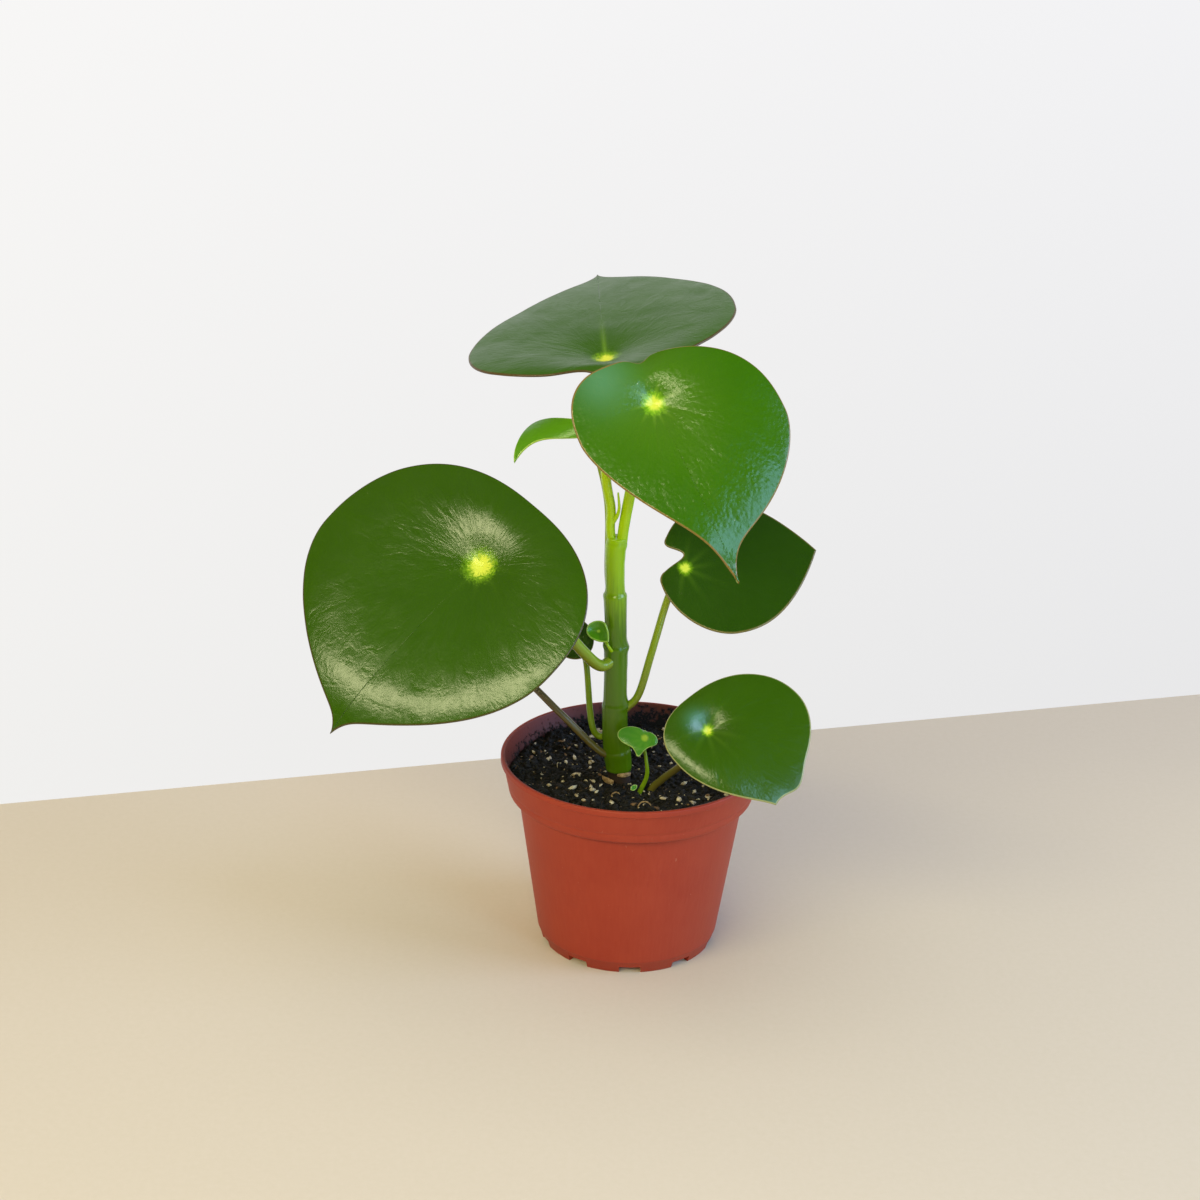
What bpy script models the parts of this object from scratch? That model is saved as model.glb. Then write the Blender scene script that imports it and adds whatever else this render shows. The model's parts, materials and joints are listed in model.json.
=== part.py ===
"""Potted peperomia in a 12 cm nursery pot.

Blender 4.5, metres, +Z up. The origin is the centre of the pot's underside, on the surface
that the pot stands on. -Y is the front. Every piece is one closed solid.
"""

import math
from dataclasses import dataclass

import bmesh
import bpy
import numpy as np
from mathutils import Matrix, Vector
from mathutils.geometry import delaunay_2d_cdt

MM = 0.001
GAP = 0.3 * MM
SEAT_GAP = 0.45 * MM

# Pot: injection-moulded, round, with a deep collar that steps in to the wall, and a
# castellated foot. Each drop is a depth under the lip's top and each inset a distance in from
# the lip's outer edge.
POT_HEIGHT = 91.3 * MM
RIM_RADIUS = 60.0 * MM
POT_SEGMENTS = 50
WALL = 1.4 * MM
LIP_DROP = 2.9 * MM
LIP_PROUD = 1.0 * MM
LIP_WIDTH = 1.8 * MM
LIP_ROUND = 0.6 * MM
COLLAR_DROP = 17.2 * MM
COLLAR_INSET = 4.0 * MM
STEP_DROP = 17.6 * MM
STEP_INSET = 8.0 * MM
WALL_DROP = 86.2 * MM
WALL_INSET = 18.3 * MM
LEDGE = 0.8 * MM
EDGE_ROUND = 1.2 * MM
STEP_ROUND = 0.6 * MM
FLOOR_TOP = 5.0 * MM
FLOOR_UNDERSIDE = 2.8 * MM
FOOT_RADIUS = 39.7 * MM
FOOT_INNER_RADIUS = 35.8 * MM
CENTRE_FOOT_RADIUS = 12.0 * MM
NOTCHES = 10
NOTCH_WIDTH = 9.8 * MM
NOTCH_HEIGHT = 3.2 * MM
FIRST_NOTCH = math.radians(-87)
DRAIN_HOLES = 5
DRAIN_RADIUS = 4.0 * MM
DRAIN_CIRCLE = 25.0 * MM

# Soil: fills the pot to a little below the lip.
SOIL_TOP = 82.0 * MM
SOIL_RINGS = 9
SOIL_LUMP = 1.1 * MM
SWELL_LENGTH = 9.0 * MM
CLOD_LENGTH = 3.4 * MM

STEM_SIDES = 12
PETIOLE_SIDES = 8
NODE_LENGTH = 3.0 * MM
WAIST = 0.3 * MM

# A stalk's last stretch stands square to its blade, and its very end flares a little.
SEAT_RUN = 5.0 * MM
SEAT_COLLAR = 1.2 * MM
SEAT_FLARE = 1.12

# Blades are nets of even triangles. The first two values are in steps of the net: the height
# of a row of it, and the margin's step. Net points keep the third value clear of the margin.
ROW_RISE = math.sqrt(0.75)
MARGIN_STEP = 0.8
MARGIN_CLEAR = 0.6
QUARTER_SAMPLES = 60

# A blade's relief follows its margin with the tip and the sinus smoothed off: so many waves
# round it, fitted to so many samples. Beyond that smooth line the relief stays level.
MARGIN_WAVES = 3
MARGIN_SAMPLES = 72
MOST_SHARE = 1.12

# A hooked blade bends most nearer its tip than its base, by this power of the way along it.
HOOK_SKEW = 1.6

POT_COLOUR = (0.33, 0.052, 0.026)
SOIL_COLOUR = (0.014, 0.011, 0.010)
STEM_GREEN = (0.13, 0.30, 0.02)
STALK_GREEN = (0.15, 0.26, 0.04)
BROWN_GREEN = (0.11, 0.095, 0.03)
LEAF_GREEN = (0.035, 0.15, 0.01)
FRESH_GREEN = (0.08, 0.27, 0.018)
SHADED_GREEN = (0.02, 0.075, 0.008)


@dataclass(frozen=True)
class Half:
    """One half of a blade's margin: where it is widest, and how full it is.

    From the widest point to the tip, front is the fullness lengthwise and point the fullness
    crosswise: 1 gives a corner at the tip and 2 a round end. From there to the base, rear is
    both. A quarter with 2 and 2 is an ellipse's.
    """

    along: float
    across: float
    front: float = 2.0
    point: float = 1.0
    rear: float = 2.0


@dataclass(frozen=True)
class Pull:
    """A shift of the margin near one place, such as the sinus or a lobe, fading over width."""

    place: tuple
    shift: tuple
    width: float


@dataclass(frozen=True)
class Blade:
    """A leaf blade, its sizes in millimetres and its angles in degrees.

    The spot is where its stalk is attached. The face looks up by rise and to the right by
    turn, and the tip is turned by tip_turn from straight downhill. Places on the blade are
    (along, across) from the spot, along pointing to the tip. The last drip of the tip's reach
    is drawn out to a point, drip_width wide. Each relief value is the rise or fall that it
    gives at the margin or at the tip.
    """

    name: str
    spot: tuple
    rise: float
    turn: float
    tip_turn: float
    tip: tuple
    base: tuple
    left: Half
    right: Half
    drip: float = 0.0
    drip_width: float = 4.0
    pulls: tuple = ()
    hook: float = 0.0
    funnel: float = 0.0
    funnel_width: float = 10.0
    dish: float = 0.0
    roll: float = 0.0
    curl: float = 0.0
    trough: float = 0.0
    centre: tuple = (0.0, 0.0)
    thickness: float = 1.2
    step: float = 8.5
    colour: tuple = LEAF_GREEN

    def axes(self):
        """Unit vectors along, across and square to the blade, as columns."""
        rise, turn, tip_turn = np.radians([self.rise, self.turn, self.tip_turn])
        level = np.array([math.sin(turn), -math.cos(turn), 0.0])
        up = np.array([0.0, 0.0, 1.0])
        square = math.cos(rise) * level + math.sin(rise) * up
        downhill = math.sin(rise) * level - math.cos(rise) * up
        along = math.cos(tip_turn) * downhill + math.sin(tip_turn) * np.cross(square, downhill)
        return np.array([along, np.cross(square, along), square]).T

    def quarter(self, end, half, lengthwise, crosswise):
        """A superellipse's quarter from an end of the blade out to a half's widest point."""
        angle = np.linspace(0, math.pi / 2, QUARTER_SAMPLES)
        ahead = np.cos(angle) ** (2 / lengthwise)
        aside = np.sin(angle) ** (2 / crosswise)
        return np.stack(
            [
                half.along + (end[0] - half.along) * ahead,
                end[1] + (half.across - end[1]) * aside,
            ],
            axis=1,
        )

    def front(self, half):
        """The margin from the tip to a half's widest point, with the drip drawn out of it."""
        body_tip = (self.tip[0] - self.drip, self.tip[1])
        line = self.quarter(body_tip, half, half.front, half.point)
        line[:, 0] += self.drip * np.exp(-np.abs(line[:, 1] - self.tip[1]) / self.drip_width)
        return line

    def margin(self, count):
        """The closed margin in count even steps, from the tip round the left half first."""
        left, right = self.left, self.right
        curve = np.vstack(
            [
                self.front(left),
                self.quarter(self.base, left, left.rear, left.rear)[::-1],
                self.quarter(self.base, right, right.rear, right.rear),
                self.front(right)[::-1],
            ]
        )
        for pull in self.pulls:
            away = np.hypot(*(curve - pull.place).T)
            curve += np.array(pull.shift) * np.exp(-((away / pull.width) ** 2))[:, None]
        reach = (curve[:, 0] - self.base[0]) / (self.tip[0] - self.base[0])
        curve[:, 1] -= self.hook * np.sin(math.pi * np.clip(reach, 0, 1) ** HOOK_SKEW)
        walked = np.concatenate([[0], np.cumsum(np.hypot(*np.diff(curve, axis=0).T))])
        stops = np.linspace(0, walked[-1], count, endpoint=False)
        return np.stack([np.interp(stops, walked, curve[:, axis]) for axis in (0, 1)], axis=1)

    def share_out(self, flat):
        """How far flat points lie from the centre to the margin, its tip and sinus smoothed off."""

        def waves(angle):
            terms = [np.ones_like(angle)]
            for order in range(1, MARGIN_WAVES + 1):
                terms += [np.cos(order * angle), np.sin(order * angle)]
            return np.stack(terms, axis=-1)

        rim = self.margin(MARGIN_SAMPLES) - self.centre
        weights = np.linalg.lstsq(
            waves(np.arctan2(rim[:, 1], rim[:, 0])), np.hypot(*rim.T), rcond=None
        )[0]
        away = flat - self.centre
        body = waves(np.arctan2(away[..., 1], away[..., 0])) @ weights
        return np.minimum(np.hypot(away[..., 0], away[..., 1]) / body, MOST_SHARE)

    def relief(self, flat):
        """Height of the blade's upper face over its plane."""
        distance = np.hypot(flat[..., 0], flat[..., 1])
        funnel = self.funnel * (1 - np.exp(-(np.hypot(distance, 1) - 1) / self.funnel_width))
        share = self.share_out(flat)
        ahead = np.clip(flat[..., 0], 0, None) / self.tip[0]
        side = flat[..., 1] / max(-self.left.across, self.right.across)
        return (
            funnel
            + self.dish * share**2
            - self.roll * share**4
            - self.curl * ahead**4
            - self.trough * side**2
        )

    def place(self, flat):
        """Flat points put on the blade's curved face, in metres."""
        local = np.concatenate([flat, self.relief(flat)[..., None]], axis=-1)
        return (np.array(self.spot) + local @ self.axes().T) * MM


@dataclass(frozen=True)
class Stalk:
    """A round stalk through its bends, tapering evenly, its sizes in millimetres."""

    name: str
    bends: tuple
    start_radius: float
    end_radius: float
    sides: int = PETIOLE_SIDES
    steps: int = 3
    colour: tuple = STALK_GREEN

    def route(self):
        return np.array(self.bends, float) * MM

    def radii(self):
        return np.linspace(self.start_radius, self.end_radius, len(self.bends)) * MM


@dataclass(frozen=True)
class Node:
    """A joint of the main stem, with the radius just below it and just above it."""

    height: float
    below: float
    above: float


def smooth_open(points, steps):
    """Catmull-Rom samples through points, with steps to each span."""
    points = np.asarray(points, float)
    ahead = np.vstack([2 * points[0] - points[1], points, 2 * points[-1] - points[-2]])
    samples = []
    for before, start, end, after in zip(ahead, ahead[1:], ahead[2:], ahead[3:]):
        for share in np.arange(steps) / steps:
            samples.append(
                start
                + 0.5 * share * (end - before)
                + share**2 * (before - 2.5 * start + 2 * end - 0.5 * after)
                + share**3 * (1.5 * (start - end) + 0.5 * (after - before))
            )
    samples.append(points[-1])
    return np.array(samples)


def clear_scene():
    for obj in list(bpy.data.objects):
        bpy.data.objects.remove(obj, do_unlink=True)


def new_collection(name):
    collection = bpy.data.collections.new(name)
    bpy.context.scene.collection.children.link(collection)
    return collection


def plain_material(name, colour, roughness):
    material = bpy.data.materials.new(name)
    material.use_nodes = True
    shader = material.node_tree.nodes["Principled BSDF"]
    shader.inputs["Base Color"].default_value = (*colour, 1.0)
    shader.inputs["Roughness"].default_value = roughness
    shader.inputs["Metallic"].default_value = 0.0
    return material


def add_object(name, data, collection, colour=None, roughness=0.4):
    obj = bpy.data.objects.new(name, data)
    collection.objects.link(obj)
    if colour is None:
        obj.hide_render = True
        obj.display_type = "WIRE"
    else:
        obj.data.materials.append(plain_material(name, colour, roughness))
    return obj


def boolean(obj, cutter, operation="DIFFERENCE"):
    modifier = obj.modifiers.new(f"{operation.lower()} {cutter.name}", "BOOLEAN")
    modifier.operation = operation
    modifier.solver = "EXACT"
    modifier.object = cutter


def turned(name, profile, collection, colour=None, roughness=0.4):
    """A profile of (radius, height) points turned round Z, its outer side running downwards."""
    mesh = bpy.data.meshes.new(name)
    points = [(radius, 0.0, height) for radius, height in profile]
    mesh.from_pydata(points, [(i, i + 1) for i in range(len(points) - 1)], [])
    obj = add_object(name, mesh, collection, colour, roughness)
    screw = obj.modifiers.new("Turn", "SCREW")
    screw.axis = "Z"
    screw.steps = screw.render_steps = POT_SEGMENTS
    screw.use_merge_vertices = True
    screw.merge_threshold = 0.00005
    screw.use_smooth_shade = True
    return obj


def evaluated_mesh(obj):
    """The object's mesh with its modifiers applied and its loose caps welded."""
    graph = bpy.context.evaluated_depsgraph_get()
    mesh = bpy.data.meshes.new_from_object(obj.evaluated_get(graph))
    work = bmesh.new()
    work.from_mesh(mesh)
    bmesh.ops.remove_doubles(work, verts=work.verts, dist=0.00001)
    bmesh.ops.recalc_face_normals(work, faces=work.faces)
    work.to_mesh(mesh)
    work.free()
    return mesh


def tube_mesh(name, route, radii, sides, steps, grown=0.0):
    """A capped tube as a mesh. grown widens it and lengthens both ends by that much."""
    samples = smooth_open(np.column_stack([route, radii]), steps)
    points, widths = samples[:, :3], samples[:, 3] + grown
    for end, inner in ((0, 1), (-1, -2)):
        away = points[end] - points[inner]
        points[end] += away / np.linalg.norm(away) * grown
    curve = bpy.data.curves.new(name, "CURVE")
    curve.dimensions = "3D"
    curve.bevel_depth = 1.0
    curve.bevel_resolution = sides // 2 - 2
    curve.use_fill_caps = True
    spline = curve.splines.new("POLY")
    spline.points.add(len(points) - 1)
    for target, place, width in zip(spline.points, points, widths):
        target.co = (*place, 1.0)
        target.radius = width
    guide = bpy.data.objects.new(name + " guide", curve)
    bpy.context.scene.collection.objects.link(guide)
    bpy.context.view_layer.update()
    mesh = evaluated_mesh(guide)
    bpy.data.objects.remove(guide, do_unlink=True)
    mesh.name = name
    mesh.shade_smooth()
    return mesh


def under_rim(inset, drop):
    """A point of the pot's section as (radius, height)."""
    return np.array([RIM_RADIUS - inset, POT_HEIGHT - drop])


def wall_corners(inwards):
    """The corners that the pot's two sides share: collar's edge, top of the wall, its foot."""
    return [
        under_rim(COLLAR_INSET + inwards, COLLAR_DROP - inwards),
        under_rim(STEP_INSET + inwards, STEP_DROP - inwards),
        under_rim(WALL_INSET + inwards, WALL_DROP),
    ]


def inner_profile(gap=0.0):
    """The inside of the pot from the lip down to the floor's edge, moved inwards by gap."""
    return np.array([under_rim(LIP_WIDTH + gap, 0), *wall_corners(WALL + gap)])


def rounded(corner, before, after, reach):
    """A corner turned into a soft edge that starts and ends reach away from it."""
    start = corner + (before - corner) / np.linalg.norm(before - corner) * reach
    end = corner + (after - corner) / np.linalg.norm(after - corner) * reach
    return [start, 0.25 * start + 0.5 * corner + 0.25 * end, end]


def outer_profile():
    """Rounded lip, tapering collar, the step under it, straight wall and ledge."""
    lip_top, lip_edge, lip_foot = under_rim(LIP_WIDTH, 0), under_rim(0, 0), under_rim(0, LIP_DROP)
    collar_top = under_rim(LIP_PROUD, LIP_DROP)
    collar_edge, wall_top, wall_foot = wall_corners(0.0)
    return [
        *rounded(lip_edge, lip_top, lip_foot, LIP_ROUND),
        *rounded(lip_foot, lip_edge, collar_top, LIP_ROUND),
        collar_top,
        *rounded(collar_edge, collar_top, wall_top, EDGE_ROUND),
        *rounded(wall_top, collar_edge, wall_foot, STEP_ROUND),
        wall_foot,
        wall_foot - np.array([LEDGE, LEDGE]),
    ]


def pot_profile():
    """Closed section of the pot, from the middle of the floor over the lip to the underside."""
    feet = [
        (FOOT_RADIUS, 0.0),
        (FOOT_INNER_RADIUS, 0.0),
        (FOOT_INNER_RADIUS, FLOOR_UNDERSIDE),
        (CENTRE_FOOT_RADIUS + MM, FLOOR_UNDERSIDE),
        (CENTRE_FOOT_RADIUS, 0.0),
        (0.0, 0.0),
    ]
    return [(0.0, FLOOR_TOP), *inner_profile()[::-1], *outer_profile(), *feet]


def notch_cutter(cutters):
    """One box for each drainage notch, across the ring of the foot."""
    work = bmesh.new()
    length = 12 * MM
    for i in range(NOTCHES):
        turn = Matrix.Rotation(FIRST_NOTCH + i * math.tau / NOTCHES, 4, "Z")
        place = Matrix.Translation((FOOT_RADIUS, 0.0, 0.0))
        size = Matrix.Diagonal((length, NOTCH_WIDTH, 2 * NOTCH_HEIGHT, 1.0))
        bmesh.ops.create_cube(work, size=1.0, matrix=turn @ place @ size)
    mesh = bpy.data.meshes.new("notch_cutter")
    work.to_mesh(mesh)
    work.free()
    return add_object("notch_cutter", mesh, cutters)


def drain_cutter(cutters):
    """One drill for each hole in the floor."""
    work = bmesh.new()
    for i in range(DRAIN_HOLES):
        turn = Matrix.Rotation(i * math.tau / DRAIN_HOLES, 4, "Z")
        place = Matrix.Translation((DRAIN_CIRCLE, 0.0, FLOOR_TOP / 2))
        bmesh.ops.create_cone(
            work,
            cap_ends=True,
            segments=16,
            radius1=DRAIN_RADIUS,
            radius2=DRAIN_RADIUS,
            depth=3 * FLOOR_TOP,
            matrix=turn @ place,
        )
    mesh = bpy.data.meshes.new("drain_cutter")
    work.to_mesh(mesh)
    work.free()
    return add_object("drain_cutter", mesh, cutters)


def make_pot(parts, cutters):
    pot = turned("pot", pot_profile(), parts, colour=POT_COLOUR, roughness=0.5)
    boolean(pot, notch_cutter(cutters))
    boolean(pot, drain_cutter(cutters))


def soil_lumps(x, y):
    """Height of the soil's top over its mean level: long swells with short clods on them."""
    long_x, long_y = x / SWELL_LENGTH, y / SWELL_LENGTH
    short_x, short_y = x / CLOD_LENGTH, y / CLOD_LENGTH
    swell = np.sin(long_x + 0.6) * np.cos(long_y - 0.4)
    clods = np.sin(short_x + 2 * np.cos(short_y)) * np.cos(short_y - 1.0)
    return SOIL_LUMP * (0.55 * swell + 0.45 * clods)


def make_soil(parts, cutters, holes):
    """Soil inside the pot, lumpy on top, with a plain hole for each stalk that stands in it."""
    line = inner_profile(GAP)
    side = [tuple(row) for row in line if row[1] < SOIL_TOP]
    underside = FLOOR_TOP + GAP
    side[-1] = (side[-1][0], underside)
    edge = np.interp(SOIL_TOP, line[::-1, 1], line[::-1, 0]) - GAP
    top = [(radius, SOIL_TOP) for radius in np.linspace(0, edge, SOIL_RINGS)]
    guide = turned("soil_guide", [*top, *side, (0.0, underside)], cutters)
    bpy.context.view_layer.update()
    mesh = evaluated_mesh(guide)
    bpy.data.objects.remove(guide, do_unlink=True)
    for vertex in mesh.vertices:
        if vertex.co.z > SOIL_TOP - MM:
            vertex.co.z += soil_lumps(vertex.co.x, vertex.co.y)
    soil = add_object("soil", mesh, parts, colour=SOIL_COLOUR, roughness=0.9)
    for hole in holes:
        boolean(soil, hole)


# The main stem's bends, from its buried end up to the fork, and its swollen nodes. Sizes here
# and in the tables of blades and stalks are millimetres.
STEM_BENDS = (
    (-6, -10, 58),
    (-5.5, -9, 85),
    (-8, -9, 108),
    (-8.5, -9, 145),
    (-10, -9, 187),
    (-9.5, -9, 200.5),
)
STEM_FOOT_RADIUS = 5.0
STEM_NODES = (
    Node(97, below=6.3, above=6.1),
    Node(121, below=5.8, above=5.4),
    Node(149, below=5.4, above=5.0),
    Node(174, below=5.2, above=4.4),
    Node(198, below=4.6, above=4.3),
)
BUD_PLACE = (-13.0, -10.5, 149.0)
BUD_SIZE = (1.5, 1.5, 3.2)
BUD_LEAN = math.radians(-14)


def stem_line():
    """The stem's route and radii: two rings at each node and a slimmer one between nodes."""
    line = smooth_open(np.array(STEM_BENDS, float) * MM, 12)
    heights, radii = [line[0, 2]], [STEM_FOOT_RADIUS * MM]
    for node in STEM_NODES:
        below = node.height * MM - NODE_LENGTH / 2
        heights += [(heights[-1] + below) / 2, below, below + NODE_LENGTH]
        radii += [(radii[-1] + node.below * MM) / 2 - WAIST, node.below * MM, node.above * MM]
    heights.append(line[-1, 2])
    radii.append(radii[-1])
    route = [np.interp(heights, line[:, 2], line[:, axis]) for axis in (0, 1)]
    return np.stack([*route, heights], axis=1), np.array(radii)


def make_stem(parts, cutters):
    """The stem with the small bud that sits at its third node. Returns the cutter round it."""
    route, radii = stem_line()
    mesh = tube_mesh("main_stem", route, radii, STEM_SIDES, 2)
    stem = add_object("main_stem", mesh, parts, colour=STEM_GREEN, roughness=0.3)
    work = bmesh.new()
    lean = Matrix.Rotation(BUD_LEAN, 4, "Y")
    size = Matrix.Diagonal((*BUD_SIZE, 1.0))
    place = Matrix.Translation(Vector(BUD_PLACE) * MM)
    bmesh.ops.create_uvsphere(work, u_segments=10, v_segments=8, radius=MM, matrix=place @ lean @ size)
    bud = bpy.data.meshes.new("bud")
    work.to_mesh(bud)
    work.free()
    boolean(stem, add_object("bud", bud, cutters), "UNION")
    grown = tube_mesh("stem_cutter", route, radii, STEM_SIDES, 2, GAP)
    return add_object("stem_cutter", grown, cutters)


def to_blade(blade, stalk):
    """The stalk's route and radii with an end added that meets the blade's underside squarely."""
    ahead, behind, left, right = blade.place(np.array([(1, 0), (-1, 0), (0, 1), (0, -1)]))
    square = np.cross(ahead - behind, left - right)
    square /= np.linalg.norm(square)
    seat = blade.place(np.zeros(2)) - square * (blade.thickness * MM + SEAT_GAP)
    radii = stalk.radii()
    end_radius = radii[-1] * SEAT_FLARE
    return (
        np.vstack([stalk.route(), seat - square * SEAT_RUN, seat - square * SEAT_COLLAR, seat]),
        np.concatenate([radii, [radii[-1], end_radius, end_radius]]),
    )


def inside(points, rim):
    """Whether each flat point is inside the closed rim, by the crossings of a line from it."""
    start, end = rim, np.roll(rim, -1, axis=0)
    x, y = points[:, 0:1], points[:, 1:2]
    spans = (start[:, 1] > y) != (end[:, 1] > y)
    drop = np.where(end[:, 1] == start[:, 1], 1.0, end[:, 1] - start[:, 1])
    crossing = start[:, 0] + (y - start[:, 1]) * (end[:, 0] - start[:, 0]) / drop
    return (spans & (x < crossing)).sum(axis=1) % 2 == 1


def net_points(rim, step):
    """A net of even triangles' corners inside the rim, one of them on the spot."""
    reach = np.abs(rim).max()
    rows = np.arange(-reach // (step * ROW_RISE), reach // (step * ROW_RISE) + 1)
    columns = np.arange(-reach // step - 1, reach // step + 2)
    across, along = np.meshgrid(rows, columns, indexing="ij")
    points = np.stack([(along + 0.5 * (across % 2)) * step, across * step * ROW_RISE], axis=-1)
    points = points.reshape(-1, 2)
    clear = np.hypot(*(points[:, None] - rim[None]).transpose(2, 0, 1)).min(axis=1)
    return points[(clear > MARGIN_CLEAR * step) & inside(points, rim)]


def make_blade(blade, parts):
    """The blade's upper face as even triangles inside the margin, thickened downwards."""
    length = np.hypot(*np.diff(blade.margin(MARGIN_SAMPLES), axis=0).T).sum()
    rim = blade.margin(round(length / (MARGIN_STEP * blade.step)))
    flat = np.vstack([rim, net_points(rim, blade.step)])
    corners, _, faces, *_ = delaunay_2d_cdt(
        [Vector(point) for point in flat], [], [list(range(len(rim)))], 1, 0.0001
    )
    mesh = bpy.data.meshes.new(blade.name)
    mesh.from_pydata(blade.place(np.array(corners)).tolist(), [], faces)
    mesh.shade_smooth()
    obj = add_object(blade.name, mesh, parts, colour=blade.colour, roughness=0.35)
    solid = obj.modifiers.new("Thickness", "SOLIDIFY")
    solid.thickness = blade.thickness * MM
    solid.offset = -1.0
    solid.use_even_offset = False


BLADES = (
    Blade(
        "blade_left_large",
        spot=(-67, -42, 197.5),
        rise=38,
        turn=-14,
        tip_turn=-32,
        tip=(96, 0),
        base=(-35, -3),
        left=Half(28, -68, front=1.9, point=1.15, rear=2.2),
        right=Half(15, 58, front=2.1, rear=2.5),
        drip=6,
        drip_width=2.5,
        funnel=8,
        funnel_width=16,
        dish=4,
        roll=8,
    ),
    Blade(
        "blade_heart",
        spot=(4.5, -42, 272.5),
        rise=30,
        turn=6,
        tip_turn=23,
        tip=(83, 2),
        base=(-22, -13),
        left=Half(5, -36, front=1.5, rear=2.5),
        right=Half(24, 51, front=1.6, point=1.7, rear=2.5),
        drip=16,
        pulls=(Pull(place=(-21, 2), shift=(3, 0), width=4),),
        funnel=6,
        funnel_width=12,
        roll=8,
        curl=4,
        step=7.5,
        colour=FRESH_GREEN,
    ),
    Blade(
        "blade_top",
        spot=(-16.5, 4, 277),
        rise=80,
        turn=-66.5,
        tip_turn=-110.5,
        tip=(107, 0),
        base=(-23, -12),
        left=Half(32, -60, front=2.7, rear=1.7),
        right=Half(18, 60, front=1.65, rear=2.5),
        drip=6,
        drip_width=3,
        pulls=(Pull(place=(-23, 8), shift=(5, 0), width=12),),
        funnel=6,
        funnel_width=14,
        dish=2,
        roll=3,
    ),
    Blade(
        "blade_young",
        spot=(-24, -12, 252),
        rise=22,
        turn=-12,
        tip_turn=-58,
        tip=(35.5, 0),
        base=(-3.5, 0),
        left=Half(14, -6, front=3.5, point=1.8, rear=1.7),
        right=Half(6, 5.5, front=2.6),
        hook=8.5,
        centre=(26, -7.5),
        trough=2,
        thickness=1.0,
        step=4,
        colour=FRESH_GREEN,
    ),
    Blade(
        "blade_right",
        spot=(21, -4, 185),
        rise=45,
        turn=8,
        tip_turn=97,
        tip=(61, 1),
        base=(-12, -4),
        left=Half(17, -33.5, front=2.3, rear=1.8),
        right=Half(20, 32, front=1.7, rear=1.9),
        pulls=(Pull(place=(-10.5, 6.5), shift=(11, 0), width=5),),
        centre=(8, -2),
        roll=1,
        step=6,
        colour=SHADED_GREEN,
    ),
    Blade(
        "blade_lower_right",
        spot=(32.5, -46, 125),
        rise=44,
        turn=12,
        tip_turn=35,
        tip=(44, 1),
        base=(-17, 3),
        left=Half(2, -21.5, front=2.1, rear=2.5),
        right=Half(13, 44, front=1.9, point=2.0, rear=2.1),
        drip=2,
        pulls=(Pull(place=(41, 15), shift=(4, 0), width=8),),
        funnel=4,
        funnel_width=9,
        roll=4,
        step=6.5,
    ),
    Blade(
        "blade_behind_small",
        spot=(-24, -3, 145.5),
        rise=42,
        turn=-8,
        tip_turn=-123,
        tip=(16, -1),
        base=(-5, 0.5),
        left=Half(7, -10, point=2.0),
        right=Half(5, 9, point=2.0),
        funnel=1,
        funnel_width=3,
        roll=1,
        thickness=1.0,
        step=4,
        colour=SHADED_GREEN,
    ),
    Blade(
        "blade_behind_old",
        spot=(-74.5, -2, 149),
        rise=50,
        turn=-20,
        tip_turn=-71,
        tip=(41, 0),
        base=(-15, 0),
        left=Half(8, -27, front=2.4),
        right=Half(8, 27, front=2.4),
        funnel=3,
        funnel_width=8,
        roll=4,
        step=8,
        colour=SHADED_GREEN,
    ),
    Blade(
        "blade_cup",
        spot=(-16.5, -16, 158.5),
        rise=32,
        turn=-15,
        tip_turn=46,
        tip=(7.5, 1),
        base=(-4.5, -1),
        left=Half(-1, -4.5),
        right=Half(0, 4.5, front=1.4),
        dish=2.5,
        thickness=0.8,
        step=2.5,
        colour=FRESH_GREEN,
    ),
    Blade(
        "blade_sprout",
        spot=(5.5, -19, 108.5),
        rise=40,
        turn=10,
        tip_turn=-103,
        tip=(12.5, 0),
        base=(-6.5, 0.5),
        left=Half(5, -4.5, point=2.0),
        right=Half(5, 5, point=2.0),
        pulls=(Pull(place=(1.5, 5), shift=(0, 4), width=2.5),),
        funnel=1,
        funnel_width=3,
        roll=1,
        thickness=0.8,
        step=2.5,
        colour=FRESH_GREEN,
    ),
)

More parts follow.
